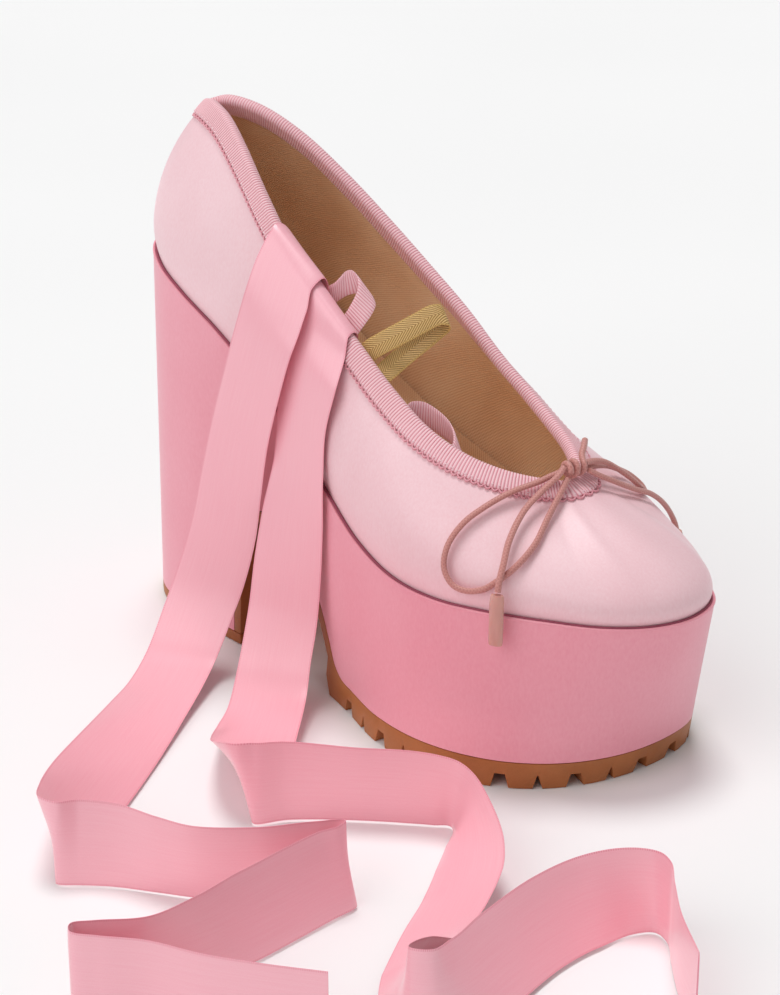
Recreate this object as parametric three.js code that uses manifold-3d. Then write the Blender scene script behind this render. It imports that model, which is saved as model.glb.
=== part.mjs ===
// Platform ballet flat, a right shoe: millimetres, +Z up, +X towards the toe, -Y the shoe's outer side.
// The shoe stands on z = 0, with the origin below the middle of its box without the ties.
import * as THREE from "three";
import { mergeVertices } from "three/addons/utils/BufferGeometryUtils.js";
import Module from "manifold-3d";

const wasm = await Module();
wasm.setup();

// Sizes of the materials and the gap between pieces that meet.
const GAP = 0.3;
const WALL = 1.8;
const BINDING = { width: 6, thickness: 0.9 };
const INSOLE_THICKNESS = 2.6;
const EDGE_STEP = 1.6;
const LIFT_HEIGHT = 3.6;
const GUM = { top: 8.3, sheet: 3.2, strip: 4.4, frontX: 113.5, shoulderX: 111.6, shoulderZ: 6.5 };
// The lugs: gaps around the rim by turns wide and narrow, a groove inside them, and bars across the middle.
const LUG = { pitch: 11.5, count: 11, reach: 12, wide: 6, narrow: 3.6, groove: 3, barPitch: 13, bars: 7, start: 113, lead: 8 };
const STRIP_THICKNESS = 0.6;
const CORD_SIDES = 8;

// Places around the shoe: 0 is the back seam, HALF is the toe, and the outer side comes first.
const PER_ROW = 3;

// The platform: the edge that the upper stands on, and the outline at the floor.
const platformRows = [
  { edgeX: 0, edgeOuter: 0, edgeInner: 0, edgeZ: 124.5, baseX: 1, baseOuter: 0, baseInner: 0 },
  { edgeX: 1.8, edgeOuter: 8.2, edgeInner: 8.4, edgeZ: 124, baseX: 2.8, baseOuter: 8.6, baseInner: 8.6 },
  { edgeX: 7.5, edgeOuter: 15.8, edgeInner: 16, edgeZ: 122.6, baseX: 8.5, baseOuter: 17.2, baseInner: 17.2 },
  { edgeX: 18, edgeOuter: 22, edgeInner: 22.2, edgeZ: 119.2, baseX: 19, baseOuter: 24.6, baseInner: 24.6 },
  { edgeX: 33, edgeOuter: 25.4, edgeInner: 25.7, edgeZ: 113.8, baseX: 33, baseOuter: 28.2, baseInner: 28.2 },
  { edgeX: 51, edgeOuter: 26, edgeInner: 26.4, edgeZ: 105.6, baseX: 50, baseOuter: 29.6, baseInner: 29.4 },
  { edgeX: 70, edgeOuter: 26.6, edgeInner: 26.6, edgeZ: 94.8, baseX: 68, baseOuter: 30.6, baseInner: 29.8 },
  { edgeX: 90, edgeOuter: 28.8, edgeInner: 28, edgeZ: 82, baseX: 88, baseOuter: 30.8, baseInner: 30 },
  { edgeX: 110, edgeOuter: 33, edgeInner: 31.8, edgeZ: 69.9, baseX: 107, baseOuter: 32.4, baseInner: 31.4 },
  { edgeX: 130, edgeOuter: 38.2, edgeInner: 36.6, edgeZ: 60.3, baseX: 126, baseOuter: 37.6, baseInner: 35.4 },
  { edgeX: 150, edgeOuter: 42.2, edgeInner: 40.8, edgeZ: 55.7, baseX: 145, baseOuter: 44.4, baseInner: 41.2 },
  { edgeX: 169, edgeOuter: 42.4, edgeInner: 43.8, edgeZ: 54.7, baseX: 163, baseOuter: 46.6, baseInner: 45.6 },
  { edgeX: 186, edgeOuter: 37.8, edgeInner: 41, edgeZ: 54.8, baseX: 179, baseOuter: 44.4, baseInner: 45 },
  { edgeX: 202, edgeOuter: 29.4, edgeInner: 35.6, edgeZ: 54.4, baseX: 194, baseOuter: 37.6, baseInner: 41.6 },
  { edgeX: 216, edgeOuter: 19, edgeInner: 28.4, edgeZ: 53.6, baseX: 205.5, baseOuter: 26, baseInner: 34.6 },
  { edgeX: 225, edgeOuter: 6.5, edgeInner: 20.4, edgeZ: 53, baseX: 213, baseOuter: 10, baseInner: 24.6 },
  { edgeX: 228.3, edgeOuter: -7.5, edgeInner: 7.5, edgeZ: 52.8, baseX: 215.3, baseOuter: -8, baseInner: 8 },
];

// The upper's top edge, and how its wall runs between the two edges, in the same rows.
// swell and rise leave the platform's edge, reach and drop lead away from the top edge.
const upperRows = [
  { topX: 19.5, topOuter: 0, topInner: 0, topZ: 171, swell: 5, rise: 14, reach: 15, drop: -13 },
  { topX: 21.5, topOuter: 2.7, topInner: 3.4, topZ: 171.9, swell: 5, rise: 14, reach: 14, drop: -14 },
  { topX: 27, topOuter: 5.1, topInner: 4.4, topZ: 172.8, swell: 5, rise: 15, reach: 12, drop: -15 },
  { topX: 37.5, topOuter: 8.5, topInner: 7.9, topZ: 170.6, swell: 5, rise: 16, reach: 10, drop: -16 },
  { topX: 51, topOuter: 13.3, topInner: 12.7, topZ: 163.6, swell: 5, rise: 17, reach: 8, drop: -16 },
  { topX: 67, topOuter: 18.5, topInner: 17.5, topZ: 152, swell: 5, rise: 18, reach: 6, drop: -16 },
  { topX: 84, topOuter: 22.5, topInner: 21.1, topZ: 139, swell: 5, rise: 18, reach: 5, drop: -15 },
  { topX: 100, topOuter: 24.2, topInner: 22.5, topZ: 128, swell: 5, rise: 18, reach: 5.5, drop: -13 },
  { topX: 117, topOuter: 24.9, topInner: 22.9, topZ: 117, swell: 5, rise: 18, reach: 7, drop: -11 },
  { topX: 133, topOuter: 25.3, topInner: 21.8, topZ: 106.4, swell: 5, rise: 18, reach: 9, drop: -8 },
  { topX: 148, topOuter: 24.9, topInner: 20.8, topZ: 98, swell: 5, rise: 18, reach: 11, drop: -7 },
  { topX: 161, topOuter: 21.5, topInner: 18.2, topZ: 92.2, swell: 4.5, rise: 16, reach: 12, drop: -8 },
  { topX: 170, topOuter: 16.3, topInner: 15.2, topZ: 88.8, swell: 4.5, rise: 14, reach: 14, drop: -9.5 },
  { topX: 176.5, topOuter: 10.3, topInner: 11.4, topZ: 86.5, swell: 4.5, rise: 12, reach: 15, drop: -11 },
  { topX: 180.5, topOuter: 4.7, topInner: 8.6, topZ: 85, swell: 5, rise: 11, reach: 16, drop: -11 },
  { topX: 182.6, topOuter: 0.8, topInner: 5.4, topZ: 84.2, swell: 5.5, rise: 12, reach: 18, drop: -9 },
  { topX: 183, topOuter: -2.4, topInner: 2.4, topZ: 84, swell: 6, rise: 13, reach: 19, drop: -8 },
];

// The underside of the satin, from the heel's breast over the arch to the forefoot.
const archPoints = [
  { x: 62, z: 3.9 },
  { x: 62, z: 22 },
  { x: 62.8, z: 36 },
  { x: 67.5, z: 46 },
  { x: 75.5, z: 50.8 },
  { x: 84.5, z: 51.6 },
  { x: 94, z: 47 },
  { x: 102, z: 39 },
  { x: 108.3, z: 29.7 },
  { x: 113.8, z: 19.3 },
  { x: 117.4, z: 12.4 },
  { x: 122, z: 9.3 },
  { x: 130, z: 8.6 },
];
const ARCH_STEPS = 30;
const BEYOND = 300;

// The ties, as satin bands: the middle of the band and the direction across it, from the inside of the
// outer wall over the top edge and down to the floor, where each lies in a zigzag on its edge.
const RIBBON = { width: 25, thickness: 0.8 };
const rearTail = [
  { x: 87.8, y: -20, z: 130.1, acrossX: 0.8, acrossY: -0.05, acrossZ: -0.59 },
  { x: 88, y: -19.2, z: 132.6, acrossX: 0.8, acrossY: -0.05, acrossZ: -0.59 },
  { x: 88, y: -18, z: 136.9, acrossX: 0.81, acrossY: -0.05, acrossZ: -0.58 },
  { x: 88.2, y: -21.2, z: 140.2, acrossX: 0.846, acrossY: 0, acrossZ: -0.53 },
  { x: 88.8, y: -25.8, z: 138.2, acrossX: 0.84, acrossY: -0.06, acrossZ: -0.54 },
  { x: 89.6, y: -30.8, z: 131.2, acrossX: 0.893, acrossY: 0.05, acrossZ: -0.436 },
  { x: 89.6, y: -34.7, z: 123.3, acrossX: 0.92, acrossY: 0.055, acrossZ: -0.387 },
  { x: 88, y: -37.4, z: 114, acrossX: 0.956, acrossY: 0.025, acrossZ: -0.292 },
  { x: 82, y: -37.6, z: 97.5, acrossX: 0.943, acrossY: 0.03, acrossZ: -0.332 },
  { x: 76.3, y: -37.6, z: 80.7, acrossX: 0.964, acrossY: 0.069, acrossZ: -0.257 },
  { x: 73, y: -38.8, z: 63.4, acrossX: 0.971, acrossY: 0.168, acrossZ: -0.172 },
  { x: 70.9, y: -40.5, z: 47.7, acrossX: 0.953, acrossY: 0.238, acrossZ: -0.187 },
  { x: 68, y: -43.5, z: 32, acrossX: 0.939, acrossY: 0.27, acrossZ: -0.211 },
  { x: 66.8, y: -49.5, z: 18, acrossX: 0.95, acrossY: 0.293, acrossZ: -0.105 },
  { x: 70, y: -59, z: 7.6, acrossX: 0.914, acrossY: 0.403, acrossZ: 0.048 },
  { x: 77, y: -71, z: 4, acrossX: 0.859, acrossY: 0.51, acrossZ: 0.057 },
  { x: 87, y: -87, z: 3.4, acrossX: 0.835, acrossY: 0.545, acrossZ: -0.08 },
  { x: 100, y: -106, z: 4.6, acrossX: 0.8, acrossY: 0.53, acrossZ: -0.281 },
  { x: 112, y: -123, z: 6.6, acrossX: 0.75, acrossY: 0.474, acrossZ: -0.461 },
  { x: 124, y: -139.5, z: 9.2, acrossX: 0.655, acrossY: 0.377, acrossZ: -0.655 },
  { x: 136, y: -156, z: 11.6, acrossX: 0.468, acrossY: 0.238, acrossZ: -0.851 },
  { x: 143, y: -165, z: 12.7, acrossX: 0.217, acrossY: 0.167, acrossZ: -0.962 },
  { x: 147.5, y: -167, z: 12.9, acrossX: 0.041, acrossY: -0.074, acrossZ: -0.996 },
  { x: 152, y: -162, z: 12.9, acrossX: 0.12, acrossY: -0.13, acrossZ: -0.984 },
  { x: 160.5, y: -155.5, z: 12.9, acrossX: 0.056, acrossY: -0.095, acrossZ: -0.994 },
  { x: 172, y: -150.5, z: 12.9, acrossX: -0.024, acrossY: 0.052, acrossZ: -0.998 },
  { x: 183, y: -145, z: 12.9, acrossX: -0.086, acrossY: 0.121, acrossZ: -0.989 },
  { x: 195, y: -133.5, z: 12.9, acrossX: -0.091, acrossY: 0.082, acrossZ: -0.992 },
  { x: 204.5, y: -121.5, z: 12.9, acrossX: 0.008, acrossY: -0.006, acrossZ: -1 },
  { x: 209.5, y: -115, z: 12.9, acrossX: 0.005, acrossY: -0.022, acrossZ: -1 },
  { x: 212.5, y: -116.5, z: 12.9, acrossX: 0.169, acrossY: 0.105, acrossZ: -0.98 },
  { x: 212, y: -124, z: 12.8, acrossX: 0.279, acrossY: 0.008, acrossZ: -0.96 },
  { x: 212.3, y: -137, z: 12.6, acrossX: 0.301, acrossY: 0.016, acrossZ: -0.953 },
  { x: 213.2, y: -153, z: 12.7, acrossX: 0.28, acrossY: -0.005, acrossZ: -0.96 },
  { x: 212.8, y: -169, z: 12.9, acrossX: 0.048, acrossY: -0.012, acrossZ: -0.999 },
  { x: 209.5, y: -184, z: 12.9, acrossX: -0.137, acrossY: 0.053, acrossZ: -0.989 },
  { x: 203, y: -195.5, z: 12.9, acrossX: -0.04, acrossY: 0.02, acrossZ: -0.999 },
  { x: 200.5, y: -201, z: 12.9, acrossX: 0, acrossY: 0, acrossZ: -1 },
  { x: 203.5, y: -203.5, z: 12.9, acrossX: 0, acrossY: 0, acrossZ: -1 },
  { x: 210, y: -199.5, z: 12.9, acrossX: 0, acrossY: 0, acrossZ: -1 },
  { x: 220, y: -192, z: 12.9, acrossX: 0, acrossY: 0, acrossZ: -1 },
  { x: 234, y: -186, z: 12.9, acrossX: 0, acrossY: 0, acrossZ: -1 },
  { x: 247, y: -178.5, z: 12.9, acrossX: 0, acrossY: 0, acrossZ: -1 },
  { x: 262, y: -168.5, z: 12.9, acrossX: 0, acrossY: 0, acrossZ: -1 },
];
const frontTail = [
  { x: 103.2, y: -22.5, z: 119.4, acrossX: 0.826, acrossY: -0.08, acrossZ: -0.56 },
  { x: 103.4, y: -21.7, z: 121.6, acrossX: 0.826, acrossY: -0.08, acrossZ: -0.56 },
  { x: 103.8, y: -20.3, z: 125.4, acrossX: 0.826, acrossY: -0.07, acrossZ: -0.56 },
  { x: 104.6, y: -22.7, z: 127.4, acrossX: 0.83, acrossY: -0.06, acrossZ: -0.555 },
  { x: 105.1, y: -26, z: 126.6, acrossX: 0.84, acrossY: -0.04, acrossZ: -0.54 },
  { x: 104.9, y: -29.2, z: 118.4, acrossX: 0.916, acrossY: 0.028, acrossZ: -0.4 },
  { x: 105.8, y: -33.6, z: 108, acrossX: 0.965, acrossY: -0.039, acrossZ: -0.258 },
  { x: 102.4, y: -34.4, z: 92, acrossX: 0.987, acrossY: -0.096, acrossZ: -0.132 },
  { x: 101.3, y: -35, z: 75, acrossX: 0.997, acrossY: -0.072, acrossZ: -0.041 },
  { x: 100.8, y: -37.4, z: 58, acrossX: 0.99, acrossY: 0.135, acrossZ: -0.029 },
  { x: 101, y: -40, z: 42, acrossX: 0.96, acrossY: 0.279, acrossZ: -0.019 },
  { x: 101.8, y: -43, z: 27, acrossX: 0.941, acrossY: 0.338, acrossZ: 0.019 },
  { x: 105, y: -49.5, z: 13.5, acrossX: 0.889, acrossY: 0.436, acrossZ: 0.139 },
  { x: 113, y: -59.5, z: 6.5, acrossX: 0.788, acrossY: 0.599, acrossZ: 0.144 },
  { x: 126, y: -75, z: 6.5, acrossX: 0.758, acrossY: 0.649, acrossZ: -0.064 },
  { x: 141, y: -92, z: 8.5, acrossX: 0.685, acrossY: 0.537, acrossZ: -0.492 },
  { x: 151, y: -102.5, z: 11.2, acrossX: 0.495, acrossY: 0.303, acrossZ: -0.814 },
  { x: 156.5, y: -106.5, z: 12.8, acrossX: 0.156, acrossY: 0.108, acrossZ: -0.982 },
  { x: 160, y: -104.5, z: 12.9, acrossX: 0.111, acrossY: -0.091, acrossZ: -0.99 },
  { x: 165, y: -97, z: 13, acrossX: 0.05, acrossY: -0.03, acrossZ: -0.998 },
  { x: 181.1, y: -83, z: 13, acrossX: -0.063, acrossY: 0.052, acrossZ: -0.997 },
  { x: 191.3, y: -74.4, z: 13, acrossX: -0.074, acrossY: 0.042, acrossZ: -0.996 },
  { x: 198.2, y: -69.6, z: 12.9, acrossX: -0.109, acrossY: 0.067, acrossZ: -0.992 },
  { x: 203.5, y: -66.9, z: 12.7, acrossX: -0.24, acrossY: 0.088, acrossZ: -0.967 },
  { x: 208.2, y: -67.6, z: 11.9, acrossX: -0.394, acrossY: 0.06, acrossZ: -0.917 },
  { x: 216.2, y: -73.3, z: 9.9, acrossX: -0.65, acrossY: -0.08, acrossZ: -0.755 },
  { x: 225, y: -82, z: 8, acrossX: -0.73, acrossY: -0.33, acrossZ: -0.598 },
  { x: 232.8, y: -92, z: 6.8, acrossX: -0.73, acrossY: -0.48, acrossZ: -0.487 },
  { x: 243, y: -109, z: 7.4, acrossX: -0.76, acrossY: -0.469, acrossZ: -0.451 },
  { x: 254, y: -129, z: 8.8, acrossX: -0.676, acrossY: -0.469, acrossZ: -0.568 },
  { x: 261.5, y: -142, z: 12, acrossX: -0.258, acrossY: -0.401, acrossZ: -0.879 },
  { x: 268, y: -147.5, z: 12.9, acrossX: 0.055, acrossY: -0.105, acrossZ: -0.993 },
  { x: 274, y: -144, z: 12.9, acrossX: 0.137, acrossY: -0.126, acrossZ: -0.983 },
  { x: 275.5, y: -134, z: 12.4, acrossX: 0.427, acrossY: -0.021, acrossZ: -0.904 },
  { x: 272, y: -117, z: 12, acrossX: 0.503, acrossY: 0.082, acrossZ: -0.86 },
  { x: 268.8, y: -97, z: 12, acrossX: 0.484, acrossY: 0.033, acrossZ: -0.875 },
  { x: 269.5, y: -82, z: 12.2, acrossX: 0.438, acrossY: -0.064, acrossZ: -0.896 },
  { x: 274, y: -70.5, z: 12.8, acrossX: 0.153, acrossY: -0.068, acrossZ: -0.986 },
  { x: 279.5, y: -65.6, z: 12.9, acrossX: 0.01, acrossY: -0.01, acrossZ: -1 },
  { x: 285, y: -67, z: 12.9, acrossX: -0, acrossY: 0, acrossZ: -1 },
  { x: 293, y: -74.5, z: 12.9, acrossX: 0.004, acrossY: 0.004, acrossZ: -1 },
  { x: 304, y: -84.5, z: 12.9, acrossX: 0.009, acrossY: 0.011, acrossZ: -1 },
  { x: 319, y: -95.5, z: 12.9, acrossX: 0, acrossY: 0, acrossZ: -1 },
];

// Small loops inside the outer wall, both ends at the wall.
const ELASTIC = { width: 7, thickness: 1 };
const elasticLoop = [
  { x: 117.4, y: -23.9, z: 110, acrossX: -0.82, acrossY: 0.05, acrossZ: 0.57 },
  { x: 117.6, y: -22.7, z: 112, acrossX: -0.82, acrossY: 0.05, acrossZ: 0.57 },
  { x: 118.9, y: -20.8, z: 114.9, acrossX: -0.8, acrossY: 0.05, acrossZ: 0.6 },
  { x: 121.6, y: -18.5, z: 117.4, acrossX: -0.77, acrossY: 0.04, acrossZ: 0.64 },
  { x: 125.7, y: -14.5, z: 120.7, acrossX: -0.73, acrossY: 0.02, acrossZ: 0.68 },
  { x: 129.8, y: -10, z: 124.1, acrossX: -0.69, acrossY: 0.02, acrossZ: 0.72 },
  { x: 133, y: -6.7, z: 126.6, acrossX: -0.65, acrossY: 0.05, acrossZ: 0.76 },
  { x: 134.8, y: -4.6, z: 126.6, acrossX: -0.62, acrossY: 0.08, acrossZ: 0.78 },
  { x: 134.4, y: -3.4, z: 124.8, acrossX: -0.62, acrossY: 0.08, acrossZ: 0.78 },
  { x: 132, y: -3.8, z: 122.2, acrossX: -0.65, acrossY: 0.06, acrossZ: 0.76 },
  { x: 128.8, y: -6.8, z: 118.2, acrossX: -0.68, acrossY: 0.04, acrossZ: 0.73 },
  { x: 126.2, y: -12, z: 114, acrossX: -0.74, acrossY: 0.02, acrossZ: 0.67 },
  { x: 125.4, y: -17.6, z: 110.8, acrossX: -0.79, acrossY: 0.03, acrossZ: 0.61 },
  { x: 125.1, y: -21.5, z: 108.8, acrossX: -0.82, acrossY: 0.05, acrossZ: 0.57 },
  { x: 124.8, y: -23.3, z: 106.6, acrossX: -0.82, acrossY: 0.05, acrossZ: 0.57 },
  { x: 124.6, y: -24.5, z: 105, acrossX: -0.82, acrossY: 0.05, acrossZ: 0.57 },
];
const RIBBED = { width: 7.5, thickness: 0.9 };
const rearLoop = [
  { x: 96.4, y: -17.8, z: 126.2, acrossX: 0.03, acrossY: 0.28, acrossZ: 0.96 },
  { x: 98.6, y: -17.3, z: 127.4, acrossX: 0, acrossY: 0.2, acrossZ: 0.98 },
  { x: 100.2, y: -16, z: 129.4, acrossX: 0, acrossY: 0.1, acrossZ: 0.99 },
  { x: 101.8, y: -14.2, z: 131.2, acrossX: -0.15, acrossY: 0, acrossZ: 0.98 },
  { x: 104.4, y: -12.6, z: 131.8, acrossX: -0.35, acrossY: -0.15, acrossZ: 0.92 },
  { x: 107.4, y: -12, z: 130.6, acrossX: -0.55, acrossY: -0.3, acrossZ: 0.78 },
  { x: 109.3, y: -13, z: 128.3, acrossX: -0.68, acrossY: -0.35, acrossZ: 0.64 },
  { x: 109.8, y: -15, z: 125.8, acrossX: -0.78, acrossY: -0.25, acrossZ: 0.57 },
  { x: 109.4, y: -17.4, z: 122.8, acrossX: -0.83, acrossY: -0.1, acrossZ: 0.55 },
  { x: 108.8, y: -19.4, z: 120.2, acrossX: -0.83, acrossY: -0.05, acrossZ: 0.55 },
  { x: 108.4, y: -20.7, z: 117.8, acrossX: -0.83, acrossY: -0.05, acrossZ: 0.55 },
];
const frontLoop = [
  { x: 136.6, y: -25.3, z: 98, acrossX: 0.1, acrossY: 0.6, acrossZ: 0.79 },
  { x: 136.3, y: -23.8, z: 98.6, acrossX: 0.05, acrossY: 0.5, acrossZ: 0.86 },
  { x: 136.7, y: -20.6, z: 99.3, acrossX: 0, acrossY: 0.25, acrossZ: 0.96 },
  { x: 139, y: -17.3, z: 98.9, acrossX: -0.02, acrossY: 0.1, acrossZ: 0.99 },
  { x: 143.4, y: -15.4, z: 97, acrossX: -0.1, acrossY: 0.05, acrossZ: 0.99 },
  { x: 148.6, y: -15, z: 94.8, acrossX: -0.25, acrossY: 0, acrossZ: 0.96 },
  { x: 153, y: -16.4, z: 92.8, acrossX: -0.42, acrossY: -0.05, acrossZ: 0.9 },
  { x: 155.8, y: -18.8, z: 90.8, acrossX: -0.6, acrossY: -0.08, acrossZ: 0.8 },
  { x: 156.2, y: -21.4, z: 88.8, acrossX: -0.8, acrossY: -0.15, acrossZ: 0.58 },
  { x: 155.6, y: -23.3, z: 87, acrossX: -0.86, acrossY: -0.22, acrossZ: 0.45 },
];

// The bow: a cord knotted on the binding at the front, a loop and a tail to each side, a tube on each tail.
const CORD = { width: 2, thickness: 2 };
const TUBE = { width: 4.6, thickness: 2.6 };
const KNOT = { width: 6.6, thickness: 6.6 };
const knotRows = [
  { x: 183.4, y: -1.6, z: 88.8 },
  { x: 183.4, y: -0.4, z: 88.9 },
  { x: 183.4, y: 1.8, z: 89 },
  { x: 183.4, y: 4, z: 88.9 },
  { x: 183.4, y: 5.2, z: 88.8 },
];
const outerLoop = [
  { x: 182.2, y: -2.5, z: 88.4 },
  { x: 181.6, y: -6, z: 87.9 },
  { x: 181, y: -10.4, z: 87.2 },
  { x: 178.2, y: -19, z: 85.5 },
  { x: 175.9, y: -27.7, z: 82.6 },
  { x: 173.9, y: -35, z: 78.6 },
  { x: 173.1, y: -40.4, z: 72.8 },
  { x: 173.9, y: -42.4, z: 66.6 },
  { x: 177.3, y: -42.2, z: 62.4 },
  { x: 181.7, y: -40.7, z: 61.4 },
  { x: 186.4, y: -38.5, z: 62.8 },
  { x: 188.9, y: -36.5, z: 65 },
  { x: 192.3, y: -31.2, z: 69.7 },
  { x: 192.4, y: -23.6, z: 74.4 },
  { x: 189.4, y: -14.8, z: 79.7 },
  { x: 187, y: -7, z: 84.6 },
  { x: 185.4, y: -2.5, z: 87.2 },
];
const outerTail = [
  { x: 183.8, y: -2.5, z: 90.4 },
  { x: 184.6, y: -6, z: 88.8 },
  { x: 184.2, y: -12, z: 85.8 },
  { x: 185, y: -20.6, z: 82 },
  { x: 187.9, y: -29.6, z: 76.2 },
  { x: 190.6, y: -34.8, z: 70.8 },
  { x: 191.8, y: -37.6, z: 66.8 },
  { x: 192.2, y: -38.6, z: 63.8 },
];
const outerTube = [
  { x: 192.3, y: -38.8, z: 63 },
  { x: 192.4, y: -39.1, z: 59 },
  { x: 192.6, y: -39.4, z: 55 },
  { x: 192.8, y: -39.7, z: 51 },
  { x: 193, y: -40, z: 47.6 },
];
const innerLoop = [
  { x: 184.4, y: 6.2, z: 89.6 },
  { x: 184, y: 10, z: 89.2 },
  { x: 184.2, y: 15, z: 87.6 },
  { x: 185.2, y: 20, z: 84.2 },
  { x: 186.4, y: 25, z: 80 },
  { x: 186.6, y: 29.5, z: 75.8 },
  { x: 185.2, y: 33, z: 73.2 },
  { x: 182.6, y: 34.2, z: 74.2 },
  { x: 180.4, y: 31.6, z: 77.4 },
  { x: 180, y: 27, z: 80.4 },
  { x: 180.6, y: 21.5, z: 83.4 },
  { x: 182, y: 15, z: 85.8 },
  { x: 183, y: 9.8, z: 87 },
  { x: 183.2, y: 6.2, z: 87.2 },
];
const innerTail = [
  { x: 186.2, y: 6.1, z: 87.8 },
  { x: 187.6, y: 9.8, z: 85.4 },
  { x: 188.6, y: 14.4, z: 82.8 },
  { x: 189.4, y: 19.4, z: 80 },
  { x: 189.6, y: 24.8, z: 77.2 },
  { x: 189.6, y: 30.6, z: 74.4 },
  { x: 189.4, y: 36.2, z: 70.2 },
  { x: 189, y: 40.8, z: 65.2 },
  { x: 188.8, y: 43.6, z: 60.8 },
  { x: 188.7, y: 44.6, z: 58.6 },
];
const innerTube = [
  { x: 188.7, y: 44.8, z: 57.8 },
  { x: 188.7, y: 45.2, z: 54.4 },
  { x: 188.7, y: 45.6, z: 51 },
  { x: 188.7, y: 45.8, z: 47.6 },
  { x: 188.7, y: 46, z: 44.4 },
];

const LAST_ROW = platformRows.length - 1;
const HALF = LAST_ROW * PER_ROW;
const AROUND = HALF * 2;

const colours = {
  satin: { color: 0xf0c8d4, roughness: 0.45 },
  gum: { color: 0xa0602f, roughness: 0.6 },
  canvas: { color: 0xc8b08a, roughness: 0.9 },
  ribbing: { color: 0xe8a6b0, roughness: 0.7 },
  elastic: { color: 0xbe9650, roughness: 0.8 },
  cord: { color: 0xbe7d78, roughness: 0.5 },
  tube: { color: 0xcd968c, roughness: 0.4 },
  ribbon: { color: 0xfaa5b4, roughness: 0.35 },
};

// Mesh helpers

// One closed geometry from points and triangles.
function solid(points, triangles) {
  const geometry = new THREE.BufferGeometry();
  const positions = points.flatMap((p) => [p.x, p.y, p.z]);
  geometry.setAttribute("position", new THREE.Float32BufferAttribute(positions, 3));
  geometry.setIndex(triangles);
  return mergeVertices(geometry, 1e-4);
}

// Triangles between rows of points, each row a closed ring, the last row joined to the first if it loops.
// From the side named turnedFrom on, each quad is cut along its other diagonal.
function ringTriangles(rows, loops, turnedFrom = Infinity) {
  const across = rows[0].length;
  const triangles = [];
  const last = loops ? rows.length : rows.length - 1;
  for (let i = 0; i < last; i += 1) {
    const next = (i + 1) % rows.length;
    for (let j = 0; j < across; j += 1) {
      const k = (j + 1) % across;
      const a = i * across + j;
      const b = i * across + k;
      const c = next * across + k;
      const d = next * across + j;
      if (j < turnedFrom) {
        triangles.push(a, b, c, a, c, d);
      } else {
        triangles.push(b, c, d, b, d, a);
      }
    }
  }
  return triangles;
}

// A ring-shaped solid: sections all the way around the shoe.
function ringSolid(sections) {
  return outward(solid(sections.flat(), ringTriangles(sections, true)));
}

// A bar-shaped solid: convex sections from end to end, with a fan over each end.
// Both faces of a thin band are cut along the same diagonals, so that a twist doesn't push one through the other.
function barSolid(sections) {
  const across = sections[0].length;
  const triangles = ringTriangles(sections, false, across / 2);
  const end = (sections.length - 1) * across;
  for (let j = 1; j < across - 1; j += 1) {
    triangles.push(0, j + 1, j, end, end + j, end + j + 1);
  }
  return outward(solid(sections.flat(), triangles));
}

// A solid between outlines that lie above each other, capped by strips from the outer to the inner side.
function stackSolid(outlines) {
  const around = outlines[0].length;
  const half = around / 2;
  const triangles = ringTriangles(outlines, false);
  const top = (outlines.length - 1) * around;
  for (let j = 0; j < half; j += 1) {
    const a = j;
    const b = j + 1;
    const c = (around - j - 1) % around;
    const d = (around - j) % around;
    triangles.push(a, c, b, top + a, top + b, top + c);
    if (j > 0) {
      triangles.push(a, d, c, top + a, top + c, top + d);
    }
  }
  return outward(solid(outlines.flat(), triangles));
}

// Turns the triangles around where the volume comes out negative.
function outward(geometry) {
  const position = geometry.getAttribute("position");
  const index = geometry.getIndex().array;
  const a = new THREE.Vector3();
  const b = new THREE.Vector3();
  const c = new THREE.Vector3();
  const kept = [];
  let volume = 0;
  for (let i = 0; i < index.length; i += 3) {
    const same = index[i] === index[i + 1] || index[i + 1] === index[i + 2] || index[i] === index[i + 2];
    if (!same) {
      kept.push(index[i], index[i + 1], index[i + 2]);
      a.fromBufferAttribute(position, index[i]);
      b.fromBufferAttribute(position, index[i + 1]);
      c.fromBufferAttribute(position, index[i + 2]);
      volume += a.dot(b.cross(c));
    }
  }
  if (volume < 0) {
    kept.reverse();
  }
  geometry.setIndex(kept);
  return geometry;
}

function toManifold(geometry) {
  const position = geometry.getAttribute("position").array;
  const triVerts = Uint32Array.from(geometry.getIndex().array);
  return new wasm.Manifold(new wasm.Mesh({ numProp: 3, vertProperties: Float32Array.from(position), triVerts }));
}

function fromManifold(manifold) {
  const mesh = manifold.getMesh();
  const geometry = new THREE.BufferGeometry();
  geometry.setAttribute("position", new THREE.BufferAttribute(new Float32Array(mesh.vertProperties), 3));
  geometry.setIndex(new THREE.BufferAttribute(new Uint32Array(mesh.triVerts), 1));
  return geometry;
}

// A slab across the whole shoe, from an outline seen from the side.
function sidePrism(outline) {
  const shape = new THREE.Shape(outline.map((p) => new THREE.Vector2(p.x, p.z)));
  const depth = BEYOND / 2;
  const geometry = new THREE.ExtrudeGeometry(shape, { depth, bevelEnabled: false, steps: 1 });
  geometry.rotateX(Math.PI / 2);
  geometry.translate(0, depth / 2, 0);
  geometry.deleteAttribute("normal");
  geometry.deleteAttribute("uv");
  return toManifold(outward(mergeVertices(geometry, 1e-4)));
}

// Loops around the shoe

// A smooth closed loop through the rows, down the outer side to the toe and back up the inner side.
function rowLoop(rows, pointOf) {
  const outer = rows.map((row) => pointOf(row, -1));
  const inner = rows.slice(1, -1).map((row) => pointOf(row, 1)).reverse();
  const curve = new THREE.CatmullRomCurve3([...outer, ...inner], true, "centripetal");
  return Array.from({ length: AROUND }, (_, i) => curve.getPoint(i / AROUND));
}

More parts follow.
